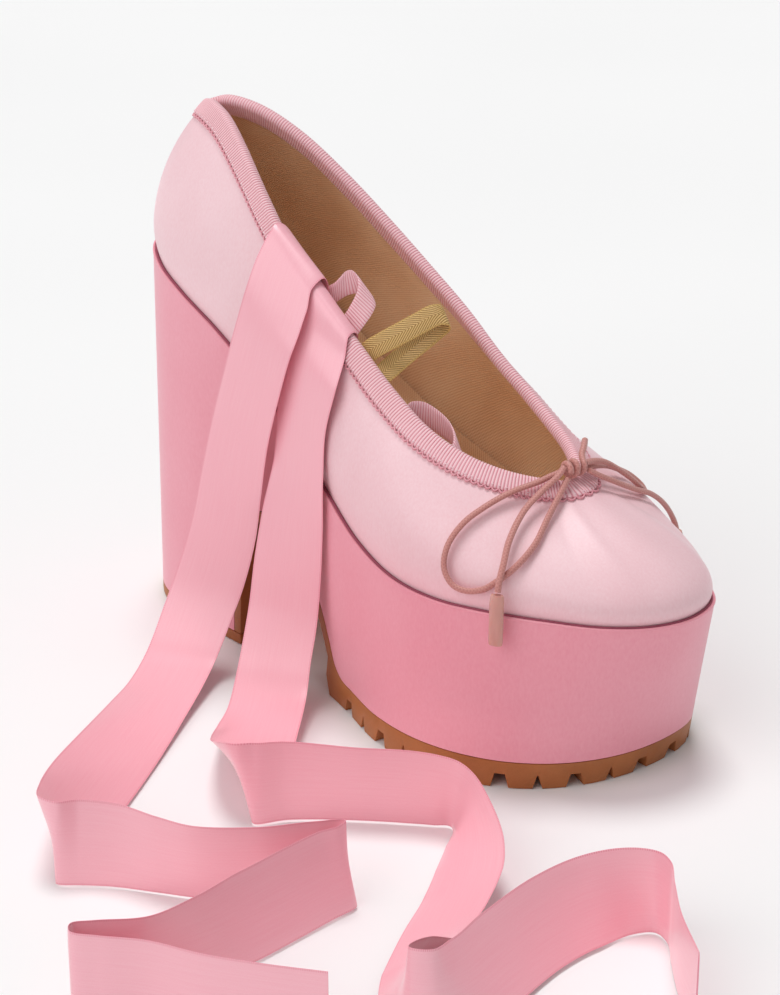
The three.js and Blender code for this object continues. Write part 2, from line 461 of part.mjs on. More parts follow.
const edgeLoop = rowLoop(platformRows, (row, side) => {
  const y = side < 0 ? -row.edgeOuter : row.edgeInner;
  return new THREE.Vector3(row.edgeX, y, row.edgeZ);
});
const baseLoop = rowLoop(platformRows, (row, side) => {
  const y = side < 0 ? -row.baseOuter : row.baseInner;
  return new THREE.Vector3(row.baseX, y, 0);
});
const topLoop = rowLoop(upperRows, (row, side) => {
  const y = side < 0 ? -row.topOuter : row.topInner;
  return new THREE.Vector3(row.topX, y, row.topZ);
});

// The level direction that points out of a loop at one place.
function outOf(loop, place) {
  const before = loop[(place + AROUND - 1) % AROUND];
  const after = loop[(place + 1) % AROUND];
  return new THREE.Vector3(after.y - before.y, before.x - after.x, 0).normalize();
}

function insetLoop(loop, inset, lift) {
  return loop.map((p, i) => p.clone().addScaledVector(outOf(loop, i), -inset).add(new THREE.Vector3(0, 0, lift)));
}

// The upper's wall

const featherLoop = insetLoop(edgeLoop, EDGE_STEP, GAP);

// The wall's own numbers at one place, eased from row to row.
function wallNumber(name, place) {
  const fromBack = place <= HALF ? place : AROUND - place;
  const row = fromBack / PER_ROW;
  const low = Math.min(Math.floor(row), LAST_ROW - 1);
  const share = THREE.MathUtils.smoothstep(row, low, low + 1);
  return THREE.MathUtils.lerp(upperRows[low][name], upperRows[low + 1][name], share);
}

// The wall's line up the outside at one place, from the platform's edge to the top edge.
function wallLine(place) {
  const foot = featherLoop[place];
  const top = topLoop[place];
  const out = outOf(edgeLoop, place);
  const low = foot.clone().addScaledVector(out, wallNumber("swell", place));
  low.z += wallNumber("rise", place);
  const high = top.clone().addScaledVector(out, wallNumber("reach", place));
  high.z += wallNumber("drop", place);
  return new THREE.CubicBezierCurve3(foot, low, high, top);
}
const wallLines = Array.from({ length: AROUND }, (_, i) => wallLine(i));

// A point on the wall, moved out of it by a distance.
function wallPoint(place, height, distance) {
  const i = (place + AROUND) % AROUND;
  const along = wallLines[(i + 1) % AROUND].getPoint(height)
    .sub(wallLines[(i + AROUND - 1) % AROUND].getPoint(height));
  const up = wallLines[i].getTangent(height);
  const out = along.cross(up).normalize();
  return wallLines[i].getPoint(height).addScaledVector(out, distance);
}

function shares(steps) {
  return Array.from({ length: steps + 1 }, (_, i) => i / steps);
}

// The share of the wall's line at which so many millimetres are left to the top edge.
function heightBelowTop(place, distance) {
  const line = wallLines[(place + AROUND) % AROUND];
  return line.getUtoTmapping(1 - distance / line.getLength());
}

function buildUpper() {
  const heights = shares(7);
  const sections = wallLines.map((_, place) => [
    ...heights.map((h) => wallPoint(place, h, 0)),
    ...heights.map((h) => wallPoint(place, h, -WALL)).reverse(),
  ]);
  return ringSolid(sections);
}

// The ribbed band folded over the top edge, its two flanges clear of the wall.
function buildBinding() {
  const face = GAP + BINDING.thickness;
  const sections = wallLines.map((_, place) => {
    const low = heightBelowTop(place, BINDING.width);
    const mid = heightBelowTop(place, BINDING.width / 2);
    const up = wallLines[place].getTangent(1);
    const over = (distance, rise) => wallPoint(place, 1, distance).addScaledVector(up, rise);
    return [
      wallPoint(place, low, face),
      wallPoint(place, mid, face),
      over(face, 0),
      over(face / 2, face),
      over(-WALL - face / 2, face),
      over(-WALL - face, 0),
      wallPoint(place, mid, -WALL - face),
      wallPoint(place, low, -WALL - face),
      wallPoint(place, low, -WALL - GAP),
      wallPoint(place, mid, -WALL - GAP),
      over(-WALL - GAP, GAP),
      over(GAP, GAP),
      wallPoint(place, mid, GAP),
      wallPoint(place, low, GAP),
    ];
  });
  return ringSolid(sections);
}

// Platform, outsole, top lift and insole

function buildBlock() {
  const belly = baseLoop.map((p, i) => p.clone().lerp(edgeLoop[i], 0.5));
  return toManifold(stackSolid([baseLoop, belly, edgeLoop]));
}

// The arch line from the side, moved down by a distance.
function archLine(distance) {
  const curve = new THREE.CatmullRomCurve3(archPoints.map((p) => new THREE.Vector3(p.x, 0, p.z)), false, "centripetal");
  return shares(ARCH_STEPS).map((share) => {
    const point = curve.getPoint(share);
    const along = curve.getTangent(share);
    return { x: point.x + along.z * distance, z: point.z - along.x * distance };
  });
}

const archEnd = archPoints[archPoints.length - 1];
const heelLow = LIFT_HEIGHT + GAP;

function buildPlatform(block) {
  const below = sidePrism([
    { x: -BEYOND / 2, z: -BEYOND / 2 },
    { x: -BEYOND / 2, z: heelLow },
    ...archLine(0),
    { x: BEYOND, z: archEnd.z },
    { x: BEYOND, z: -BEYOND / 2 },
  ]);
  return fromManifold(block.subtract(below));
}

function buildOutsole(block) {
  const upperLine = archLine(GAP);
  const lowerLine = archLine(GAP + GUM.sheet);
  const descent = lowerLine.filter((p) => p.z > GUM.shoulderZ * 2 && p.x < GUM.frontX);
  const sheet = sidePrism([
    ...upperLine,
    { x: BEYOND, z: GUM.top },
    { x: BEYOND, z: 0 },
    { x: GUM.frontX, z: 0 },
    { x: GUM.shoulderX, z: GUM.shoulderZ },
    ...descent.reverse(),
    { x: lowerLine[0].x, z: heelLow },
  ]);
  return fromManifold(block.intersect(sheet).subtract(lugGaps()));
}

// A gap between two lugs at the rim, square to the outline there.
function rimGap(centre, out, width) {
  const top = width === LUG.narrow ? 0.4 : width * 0.55;
  const shape = new THREE.Shape([
    new THREE.Vector2(-width / 2, -1),
    new THREE.Vector2(width / 2, -1),
    new THREE.Vector2(top / 2, GUM.strip),
    new THREE.Vector2(-top / 2, GUM.strip),
  ]);
  const geometry = new THREE.ExtrudeGeometry(shape, { depth: LUG.reach * 2, bevelEnabled: false });
  geometry.translate(0, 0, -LUG.reach);
  geometry.deleteAttribute("normal");
  geometry.deleteAttribute("uv");
  const across = new THREE.Vector3(-out.y, out.x, 0);
  const frame = new THREE.Matrix4().makeBasis(across, new THREE.Vector3(0, 0, 1), out);
  frame.setPosition(centre);
  geometry.applyMatrix4(frame);
  return toManifold(outward(mergeVertices(geometry, 1e-4)));
}

// Everything that is cut from below out of the forefoot's gum.
function lugGaps() {
  const floorSlab = (inset) => toManifold(stackSolid([
    insetLoop(baseLoop, inset, -1),
    insetLoop(baseLoop, inset, GUM.strip - 1),
  ]));
  const middle = floorSlab(LUG.reach + LUG.groove);
  const forefoot = sidePrism([
    { x: LUG.start + LUG.lead, z: -2 },
    { x: BEYOND, z: -2 },
    { x: BEYOND, z: GUM.strip },
    { x: LUG.start + LUG.lead, z: GUM.strip },
  ]);
  let gaps = floorSlab(LUG.reach).subtract(middle).intersect(forefoot);
  for (let k = 0; k < LUG.bars; k += 1) {
    const x = LUG.start + LUG.barPitch * (k + 1);
    const groove = sidePrism([
      { x, z: -1 },
      { x: x + LUG.groove, z: -1 },
      { x: x + LUG.groove, z: GUM.strip - 1 },
      { x, z: GUM.strip - 1 },
    ]);
    gaps = gaps.add(groove.intersect(middle));
  }
  for (const turn of [-1, 1]) {
    let walked = 0;
    let gap = 0;
    for (let step = 0; gap < LUG.count && step < HALF; step += 1) {
      const place = HALF + turn * step;
      const here = baseLoop[place];
      const next = baseLoop[place + turn];
      const length = here.distanceTo(next);
      while (gap < LUG.count && (gap + 0.6) * LUG.pitch < walked + length) {
        const share = ((gap + 0.6) * LUG.pitch - walked) / length;
        const width = gap % 2 === 0 ? LUG.wide : LUG.narrow;
        gaps = gaps.add(rimGap(here.clone().lerp(next, share), outOf(baseLoop, place), width));
        gap += 1;
      }
      walked += length;
    }
  }
  return gaps;
}

function buildTopLift(block) {
  const slab = sidePrism([
    { x: -BEYOND / 2, z: 0 },
    { x: archPoints[0].x + GAP + GUM.sheet, z: 0 },
    { x: archPoints[0].x + GAP + GUM.sheet, z: LIFT_HEIGHT },
    { x: -BEYOND / 2, z: LIFT_HEIGHT },
  ]);
  return fromManifold(block.intersect(slab));
}

function buildInsole() {
  const inset = EDGE_STEP + WALL + GAP;
  return stackSolid([
    insetLoop(edgeLoop, inset + GAP, GAP),
    insetLoop(edgeLoop, inset, GAP + INSOLE_THICKNESS / 2),
    insetLoop(edgeLoop, inset + INSOLE_THICKNESS / 3, GAP + INSOLE_THICKNESS),
  ]);
}

// Back strip, loops, bow and ties

// The strip over the back seam, from the platform's edge up to the binding.
function buildBackStrip() {
  const low = 0.02;
  const sections = shares(8).map((share) => {
    const at = (place, distance) => {
      const high = heightBelowTop(place, BINDING.width + GAP);
      return wallPoint(place, THREE.MathUtils.lerp(low, high, share), distance);
    };
    const face = GAP + STRIP_THICKNESS;
    return [at(0, GAP), at(1, GAP), at(1, face), at(0, face), at(-1, face), at(-1, GAP)];
  });
  return barSolid(sections);
}

function curveThrough(rows) {
  const points = rows.map((row) => new THREE.Vector3(row.x, row.y, row.z));
  return new THREE.CatmullRomCurve3(points, false, "centripetal");
}

// A flat band through a table's rows, so many steps from row to row.
// Its sections lie along the table's directions, so they don't swing through each other at a tight turn.
function buildBand(rows, size, perRow) {
  const middles = curveThrough(rows);
  const directions = curveThrough(rows.map((row) => ({ x: row.acrossX, y: row.acrossY, z: row.acrossZ })));
  const sections = shares((rows.length - 1) * perRow).map((share) => {
    const middle = middles.getPoint(share);
    const along = middles.getTangent(share);
    const across = directions.getPoint(share);
    across.setLength(size.width / 2);
    const through = along.cross(across).setLength(size.thickness / 2);
    const corner = (a, b) => middle.clone().addScaledVector(across, a).addScaledVector(through, b);
    return [corner(-1, -1), corner(1, -1), corner(1, 1), corner(-1, 1)];
  });
  return barSolid(sections);
}

// A round or flattened cord through a table's rows, its size eased by a share for each step.
function buildCord(rows, size, steps, swell) {
  const line = curveThrough(rows);
  const frames = line.computeFrenetFrames(steps, false);
  const sections = shares(steps).map((share, i) => Array.from({ length: CORD_SIDES }, (_, k) => {
    const turn = (k / CORD_SIDES) * Math.PI * 2;
    const wide = Math.cos(turn) * size.width * 0.5 * swell(share);
    const thick = Math.sin(turn) * size.thickness * 0.5 * swell(share);
    return line.getPointAt(share).addScaledVector(frames.normals[i], wide).addScaledVector(frames.binormals[i], thick);
  }));
  return barSolid(sections);
}

const even = () => 1;
const round = (share) => 0.7 + 0.3 * Math.sin(share * Math.PI);

// The whole shoe

const shoe = new THREE.Group();

function add(name, geometry, look) {
  const { color, roughness } = colours[look];
  const mesh = new THREE.Mesh(geometry, new THREE.MeshStandardMaterial({ color, roughness, metalness: 0 }));
  mesh.name = name;
  shoe.add(mesh);
}

const block = buildBlock();
add("outsole", buildOutsole(block), "gum");
add("top_lift", buildTopLift(block), "gum");
add("platform_heel", buildPlatform(block), "satin");
add("insole", buildInsole(), "canvas");
add("upper", buildUpper(), "satin");
add("topline_binding", buildBinding(), "ribbing");

add("back_strip", buildBackStrip(), "satin");

// The origin moves to the floor below the middle of the box of the shoe without its cords and ties.
const box = new THREE.Box3().setFromObject(shoe);
const middle = box.getCenter(new THREE.Vector3());

add("elastic_loop", buildBand(elasticLoop, ELASTIC, 2), "elastic");
add("rear_ribbon_loop", buildBand(rearLoop, RIBBED, 2), "ribbing");
add("front_ribbon_loop", buildBand(frontLoop, RIBBED, 2), "ribbing");
add("bow_knot", buildCord(knotRows, KNOT, 4, round), "cord");
add("bow_loop_outer", buildCord(outerLoop, CORD, 34, even), "cord");
add("bow_tail_outer", buildCord(outerTail, CORD, 18, even), "cord");
add("bow_tube_outer", buildCord(outerTube, TUBE, 4, even), "tube");
add("bow_loop_inner", buildCord(innerLoop, CORD, 28, even), "cord");
add("bow_tail_inner", buildCord(innerTail, CORD, 18, even), "cord");
add("bow_tube_inner", buildCord(innerTube, TUBE, 4, even), "tube");
add("ribbon_tail_rear", buildBand(rearTail, RIBBON, 1), "ribbon");
add("ribbon_tail_front", buildBand(frontTail, RIBBON, 1), "ribbon");
shoe.position.set(-middle.x, -middle.y, 0);

export default shoe;
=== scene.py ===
# Platform ballet flat: a pink satin upper on a tall satin platform, with a lugged gum sole and ribbon ties.
# Sizes are in millimetres in the shoe's own measure until to_frame turns them into metres of the frame.
import math

import bmesh
import bpy
import numpy as np
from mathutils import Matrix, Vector


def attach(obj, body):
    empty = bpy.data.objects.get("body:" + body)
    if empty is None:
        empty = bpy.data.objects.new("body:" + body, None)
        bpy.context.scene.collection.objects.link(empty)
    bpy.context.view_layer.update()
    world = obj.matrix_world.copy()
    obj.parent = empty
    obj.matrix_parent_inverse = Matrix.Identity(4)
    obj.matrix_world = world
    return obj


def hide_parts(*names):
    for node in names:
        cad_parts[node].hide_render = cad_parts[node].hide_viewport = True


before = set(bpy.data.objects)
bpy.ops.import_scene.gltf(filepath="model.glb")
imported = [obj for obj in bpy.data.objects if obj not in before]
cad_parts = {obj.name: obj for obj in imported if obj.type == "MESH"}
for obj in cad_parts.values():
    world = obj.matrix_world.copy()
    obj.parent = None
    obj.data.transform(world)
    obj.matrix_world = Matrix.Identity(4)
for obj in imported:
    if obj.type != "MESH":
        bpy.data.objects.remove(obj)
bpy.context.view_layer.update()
scene = bpy.context.scene

# Camera, lights and floor
# The camera stands in front of the outer side, a little above, and looks down at the shoe.
# A broad light comes from above and a softer one from the front, over a plain matt floor.
camera_data = bpy.data.cameras.new("camera")
camera = bpy.data.objects.new("camera", camera_data)
scene.collection.objects.link(camera)
CAMERA_PLACE = (0.55528, -0.53209, 0.37763)
CAMERA_AIM = (-0.00187, -0.00522, 0.060)
camera.location = CAMERA_PLACE
aim = Vector(CAMERA_AIM) - camera.location
camera.rotation_euler = aim.to_track_quat("-Z", "Y").to_euler()
camera_data.sensor_fit = "HORIZONTAL"
camera_data.sensor_width = 36
camera_data.lens = 120
camera_data.clip_start = 0.01
scene.camera = camera
scene.view_settings.view_transform = "Standard"

world = bpy.data.worlds.new("studio")
scene.world = world
world.use_nodes = True
world.node_tree.nodes["Background"].inputs["Color"].default_value = (1.0, 1.0, 1.0, 1.0)
world.node_tree.nodes["Background"].inputs["Strength"].default_value = 0.36


def add_sun(name, source, spread, strength):
    """A very broad light from the direction of source, its spread in degrees."""
    light_data = bpy.data.lights.new(name, "SUN")
    light_data.angle = math.radians(spread)
    light_data.energy = strength
    light = bpy.data.objects.new(name, light_data)
    scene.collection.objects.link(light)
    light.location = source
    light.rotation_euler = (-Vector(source)).to_track_quat("-Z", "Y").to_euler()


add_sun("main_light", (-0.2, 0.12, 1.0), 20, 1.45)
add_sun("soft_front_light", (-0.1, -1.0, 0.75), 60, 1.0)


def linear(red, green, blue):
    """A colour given as it looks on screen, from 0 to 255, as Blender counts it."""
    shares = [value / 255 for value in (red, green, blue)]
    return tuple(v / 12.92 if v <= 0.04045 else ((v + 0.055) / 1.055) ** 2.4 for v in shares) + (1.0,)


def new_material(name):
    material = bpy.data.materials.new(name)
    material.use_nodes = True
    tree = material.node_tree
    return material, tree, tree.nodes["Principled BSDF"]


def add_node(tree, kind, **values):
    node = tree.nodes.new(kind)
    for key, value in values.items():
        setattr(node, key, value)
    return node


def noise_node(tree, vector, scale, detail=2.0, stretch=(1, 1, 1)):
    mapping = add_node(tree, "ShaderNodeMapping")
    mapping.inputs["Scale"].default_value = stretch
    tree.links.new(vector, mapping.inputs["Vector"])
    noise = add_node(tree, "ShaderNodeTexNoise")
    noise.inputs["Scale"].default_value = scale
    noise.inputs["Detail"].default_value = detail
    tree.links.new(mapping.outputs["Vector"], noise.inputs["Vector"])
    return noise.outputs["Fac"]


def ramp_node(tree, value, stops):
    ramp = add_node(tree, "ShaderNodeValToRGB")
    elements = ramp.color_ramp.elements
    elements[0].position, elements[0].color = stops[0]
    elements[1].position, elements[1].color = stops[-1]
    for position, colour in stops[1:-1]:
        element = elements.new(position)
        element.color = colour
    tree.links.new(value, ramp.inputs["Fac"])
    return ramp.outputs["Color"]


def floor_material():
    material, tree, shader = new_material("floor")
    place = add_node(tree, "ShaderNodeTexCoord").outputs["Object"]
    broad = noise_node(tree, place, 3, 1)
    colour = ramp_node(tree, broad, [(0.3, linear(247, 247, 247)), (0.7, linear(249, 249, 249))])
    tree.links.new(colour, shader.inputs["Base Color"])
    shader.inputs["Roughness"].default_value = 0.9
    shader.inputs["Specular IOR Level"].default_value = 0.1
    return material


FLOOR_SIZE = 8
FLOOR_GAP = 0.0002
bpy.ops.mesh.primitive_plane_add(size=FLOOR_SIZE, location=(0, 0, -FLOOR_GAP))
floor = bpy.context.active_object
floor.name = "floor"
floor.data.materials.append(floor_material())

# Upper
# The part that holds the foot: pink satin outside and tan canvas inside, joined to one wall and pulled over
# the last onto the platform's edge. Here it is two thin shells. Its tables run from the back seam to the toe.
SHIFT = np.array([-113.773, 0.379, 0.0])


def to_frame(points):
    return (np.asarray(points, float) + SHIFT) * 0.001


def spline(points, share, loops=False):
    """Points at the given shares of a smooth line through rows of points."""
    points = np.asarray(points, float)
    share = np.asarray(share, float)
    count = len(points)
    if loops:
        reach = (share % 1.0) * count
        low = np.floor(reach).astype(int)
        a, b, c, d = (points[(low + k) % count] for k in (-1, 0, 1, 2))
    else:
        reach = np.clip(share, 0, 1) * (count - 1)
        low = np.minimum(np.floor(reach).astype(int), count - 2)
        padded = np.vstack([2 * points[0] - points[1], points, 2 * points[-1] - points[-2]])
        a, b, c, d = (padded[low + k] for k in range(4))
    rest = (reach - low)[:, None]

    def gap(first, second):
        return np.maximum(np.sqrt(np.linalg.norm(second - first, axis=1)), 1e-3)[:, None]

    ab, bc, cd = gap(a, b), gap(b, c), gap(c, d)
    start = ((b - a) / ab - (c - a) / (ab + bc) + (c - b) / bc) * bc
    end = ((c - b) / bc - (d - b) / (bc + cd) + (d - c) / cd) * bc
    cube = 2 * b - 2 * c + start + end
    square = 3 * c - 3 * b - 2 * start - end
    return b + start * rest + square * rest**2 + cube * rest**3


def unit(vectors):
    return vectors / np.maximum(np.linalg.norm(vectors, axis=-1, keepdims=True), 1e-9)


def lengths_along(points):
    steps = np.linalg.norm(np.diff(points, axis=0), axis=1)
    return np.concatenate([[0.0], np.cumsum(steps)])


def grid_mesh(name, grid, loops_u, loops_v, u, v, angle=40):
    """A mesh from a grid of points in mm; u and v are the texture's values along its two sides."""
    rows, columns = grid.shape[:2]
    row_count = rows if loops_u else rows - 1
    column_count = columns if loops_v else columns - 1
    faces = []
    corners = []
    for i in range(row_count):
        next_i = (i + 1) % rows
        for j in range(column_count):
            next_j = (j + 1) % columns
            near, far = i * columns, next_i * columns
            faces.append((near + j, far + j, far + next_j, near + next_j))
            corners += [(u[i], v[j]), (u[i + 1], v[j]), (u[i + 1], v[j + 1]), (u[i], v[j + 1])]
    mesh = bpy.data.meshes.new(name)
    mesh.from_pydata(to_frame(grid.reshape(-1, 3)).tolist(), [], faces)
    layer = mesh.uv_layers.new(name="UVMap")
    layer.data.foreach_set("uv", np.array(corners, np.float32).ravel())
    if not loops_u and loops_v:
        cap_ends(mesh, rows, columns)
    finish_mesh(mesh, angle)
    obj = bpy.data.objects.new(name, mesh)
    scene.collection.objects.link(obj)
    return obj


def cap_ends(mesh, rows, columns):
    """Closes both ends of a tube or band."""
    edit = bmesh.new()
    edit.from_mesh(mesh)
    edit.verts.ensure_lookup_table()
    for start in (0, (rows - 1) * columns):
        ring = [edit.verts[start + k] for k in range(columns)]
        edit.faces.new(ring)
    edit.to_mesh(mesh)
    edit.free()


def finish_mesh(mesh, angle):
    """Turns every face outward and smooths all but the sharp edges."""
    edit = bmesh.new()
    edit.from_mesh(mesh)
    bmesh.ops.recalc_face_normals(edit, faces=edit.faces)
    edit.to_mesh(mesh)
    edit.free()
    mesh.polygons.foreach_set("use_smooth", [True] * len(mesh.polygons))
    mesh.set_sharp_from_angle(angle=math.radians(angle))
    mesh.update()


# The platform's edge, which carries the upper, and its outline at the floor.
PLATFORM_COLUMNS = ("edge_x", "edge_outer", "edge_inner", "edge_z", "base_x", "base_outer", "base_inner")
PLATFORM = [
    (0, 0, 0, 124.5, 1, 0, 0),
    (1.8, 8.2, 8.4, 124, 2.8, 8.6, 8.6),
    (7.5, 15.8, 16, 122.6, 8.5, 17.2, 17.2),
    (18, 22, 22.2, 119.2, 19, 24.6, 24.6),
    (33, 25.4, 25.7, 113.8, 33, 28.2, 28.2),
    (51, 26, 26.4, 105.6, 50, 29.6, 29.4),
    (70, 26.6, 26.6, 94.8, 68, 30.6, 29.8),
    (90, 28.8, 28, 82, 88, 30.8, 30),
    (110, 33, 31.8, 69.9, 107, 32.4, 31.4),
    (130, 38.2, 36.6, 60.3, 126, 37.6, 35.4),
    (150, 42.2, 40.8, 55.7, 145, 44.4, 41.2),
    (169, 42.4, 43.8, 54.7, 163, 46.6, 45.6),
    (186, 37.8, 41, 54.8, 179, 44.4, 45),
    (202, 29.4, 35.6, 54.4, 194, 37.6, 41.6),
    (216, 19, 28.4, 53.6, 205.5, 26, 34.6),
    (225, 6.5, 20.4, 53, 213, 10, 24.6),
    (228.3, -7.5, 7.5, 52.8, 215.3, -8, 8),
]
PLATFORM = [dict(zip(PLATFORM_COLUMNS, row)) for row in PLATFORM]
# The upper's top edge, and how the wall between the two edges bends.
UPPER_COLUMNS = ("top_x", "top_outer", "top_inner", "top_z", "swell", "rise", "reach", "drop")
UPPER = [
    (19.5, 0, 0, 171, 5, 14, 15, -13),
    (21.5, 2.7, 3.4, 171.9, 5, 14, 14, -14),
    (27, 5.1, 4.4, 172.8, 5, 15, 12, -15),
    (37.5, 8.5, 7.9, 170.6, 5, 16, 10, -16),
    (51, 13.3, 12.7, 163.6, 5, 17, 8, -16),
    (67, 18.5, 17.5, 152, 5, 18, 6, -16),
    (84, 22.5, 21.1, 139, 5, 18, 5, -15),
    (100, 24.2, 22.5, 128, 5, 18, 5.5, -13),
    (117, 24.9, 22.9, 117, 5, 18, 7, -11),
    (133, 25.3, 21.8, 106.4, 5, 18, 9, -8),
    (148, 24.9, 20.8, 98, 5, 18, 11, -7),
    (161, 21.5, 18.2, 92.2, 4.5, 16, 12, -8),
    (170, 16.3, 15.2, 88.8, 4.5, 14, 14, -9.5),
    (176.5, 10.3, 11.4, 86.5, 4.5, 12, 15, -11),
    (180.5, 4.7, 8.6, 85, 5, 11, 16, -11),
    (182.6, 0.8, 5.4, 84.2, 5.5, 12, 18, -9),
    (183, -2.4, 2.4, 84, 6, 13, 19, -8),
]
UPPER = [dict(zip(UPPER_COLUMNS, row)) for row in UPPER]
AROUND = 96
HALF = 48
EDGE_STEP = 1.6
WALL = 1.8
GAP = 0.3


def row_loop(rows, x, outer, inner, z, places):
    """A smooth closed loop through the rows at the given places, the outer side first."""
    down = [(row[x], -row[outer], row[z]) for row in rows]
    back = [(row[x], row[inner], row[z]) for row in rows[1:-1]][::-1]
    return spline(down + back, np.asarray(places, float) / AROUND, True)


def edge_loop(places):
    return row_loop(PLATFORM, "edge_x", "edge_outer", "edge_inner", "edge_z", places)


def top_loop(places):
    return row_loop(UPPER, "top_x", "top_outer", "top_inner", "top_z", places)


def out_of(loop, places):
    """The level direction out of a loop at each place."""
    before = loop(np.asarray(places, float) - 1)
    after = loop(np.asarray(places, float) + 1)
    out = np.zeros_like(before)
    out[:, 0] = after[:, 1] - before[:, 1]
    out[:, 1] = before[:, 0] - after[:, 0]
    return unit(out)


def wall_number(name, places):
    places = np.asarray(places, float) % AROUND
    row = np.where(places <= HALF, places, AROUND - places) / 3
    low = np.minimum(np.floor(row).astype(int), len(UPPER) - 2)
    share = np.clip(row - low, 0, 1)
    eased = share * share * (3 - 2 * share)
    values = np.array([line[name] for line in UPPER])
    return (values[low] * (1 - eased) + values[low + 1] * eased)[:, None]


def wall_corners(places):
    """The four points that steer the wall's line at each place."""
    lift = np.array([0.0, 0.0, 1.0])
    foot = edge_loop(places) - out_of(edge_loop, places) * EDGE_STEP + lift * GAP
    top = top_loop(places)
    out = out_of(edge_loop, places)
    low = foot + out * wall_number("swell", places) + lift * wall_number("rise", places)
    high = top + out * wall_number("reach", places) + lift * wall_number("drop", places)
    return foot, low, high, top


def wall(places, heights, distance=0.0):
    """Points on the wall for each place and share of its height, moved out of it by a distance."""
    places = np.asarray(places, float)
    heights = np.asarray(heights, float)
    if heights.ndim == 1:
        heights = np.broadcast_to(heights, (len(places), len(heights)))

    def points(at):
        a, b, c, d = (corner[:, None, :] for corner in wall_corners(at))
        t = heights[:, :, None]
        return (1 - t) ** 3 * a + 3 * t * (1 - t) ** 2 * b + 3 * t**2 * (1 - t) * c + t**3 * d

    here = points(places)
    along = points(places + 1) - points(places - 1)
    a, b, c, d = (corner[:, None, :] for corner in wall_corners(places))
    t = heights[:, :, None]
    up = (b - a) * (1 - t) ** 2 + 2 * (c - b) * t * (1 - t) + (d - c) * t**2
    normal = unit(np.cross(along, up))
    distance = np.asarray(distance, float)
    if distance.ndim:
        distance = distance[..., None]
    return here + normal * distance, normal, unit(up)


def math_node(tree, operation, first, second=None):
    node = add_node(tree, "ShaderNodeMath", operation=operation)
    for slot, value in enumerate((first, second)):
        if value is None:
            continue
        if isinstance(value, (int, float)):
            node.inputs[slot].default_value = value
        else:
            tree.links.new(value, node.inputs[slot])
    return node.outputs[0]


def bump(tree, shader, height, distance, strength=1.0):
    node = add_node(tree, "ShaderNodeBump")
    node.inputs["Distance"].default_value = distance
    node.inputs["Strength"].default_value = strength
    tree.links.new(height, node.inputs["Height"])
    tree.links.new(node.outputs["Normal"], shader.inputs["Normal"])


def mottle_group():
    """A node group of broad changes of tone and a fine grain, mixed by Grain Share."""
    group = bpy.data.node_groups.new("mottle", "ShaderNodeTree")
    numbers = ("Broad Scale", "Broad Detail", "Grain Scale", "Grain Share")
    for name in ("Vector", "Grain Stretch"):
        group.interface.new_socket(name, in_out="INPUT", socket_type="NodeSocketVector")
    for name in numbers:
        group.interface.new_socket(name, in_out="INPUT", socket_type="NodeSocketFloat")
    for name in ("Tone", "Grain"):
        group.interface.new_socket(name, in_out="OUTPUT", socket_type="NodeSocketFloat")
    given = add_node(group, "NodeGroupInput").outputs
    result = add_node(group, "NodeGroupOutput").inputs
    broad = noise_node(group, given["Vector"], 1.0)
    grain = noise_node(group, given["Vector"], 1.0)
    broad_noise, grain_noise = broad.node, grain.node
    group.links.new(given["Broad Scale"], broad_noise.inputs["Scale"])
    group.links.new(given["Broad Detail"], broad_noise.inputs["Detail"])
    group.links.new(given["Grain Scale"], grain_noise.inputs["Scale"])
    grain_mapping = grain_noise.inputs["Vector"].links[0].from_node
    group.links.new(given["Grain Stretch"], grain_mapping.inputs["Scale"])
    broad_share = math_node(group, "SUBTRACT", 1.0, given["Grain Share"])
    broad_part = math_node(group, "MULTIPLY", broad, broad_share)
    grain_part = math_node(group, "MULTIPLY", grain, given["Grain Share"])
    group.links.new(math_node(group, "ADD", broad_part, grain_part), result["Tone"])
    group.links.new(grain, result["Grain"])
    return group


mottle = mottle_group()


def mottle_node(tree, broad_scale, broad_detail, grain_scale, grain_share, stretch=(1, 1, 1)):
    """Places the mottle group in a material, on the piece's own place, and gives its tone and grain."""
    node = add_node(tree, "ShaderNodeGroup", node_tree=mottle)
    place = add_node(tree, "ShaderNodeTexCoord").outputs["Object"]
    tree.links.new(place, node.inputs["Vector"])
    node.inputs["Grain Stretch"].default_value = stretch
    node.inputs["Broad Scale"].default_value = broad_scale
    node.inputs["Broad Detail"].default_value = broad_detail
    node.inputs["Grain Scale"].default_value = grain_scale
    node.inputs["Grain Share"].default_value = grain_share
    return node.outputs["Tone"], node.outputs["Grain"]


def satin_material(name, pale, deep, roughness, sheen):
    """Satin: a very fine grain, soft broad changes of tone and a silky shine."""
    material, tree, shader = new_material(name)
    tone, grain = mottle_node(tree, 22, 2, 1500, 0.45, (1, 1, 0.45))
    colour = ramp_node(tree, tone, [(0.32, deep), (0.68, pale)])
    tree.links.new(colour, shader.inputs["Base Color"])
    shader.inputs["Roughness"].default_value = roughness
    shader.inputs["Sheen Weight"].default_value = sheen
    shader.inputs["Sheen Roughness"].default_value = 0.35
    shader.inputs["Sheen Tint"].default_value = linear(255, 225, 232)
    bump(tree, shader, grain, 0.00004, 0.6)
    return material


CANVAS_THREAD = 0.95


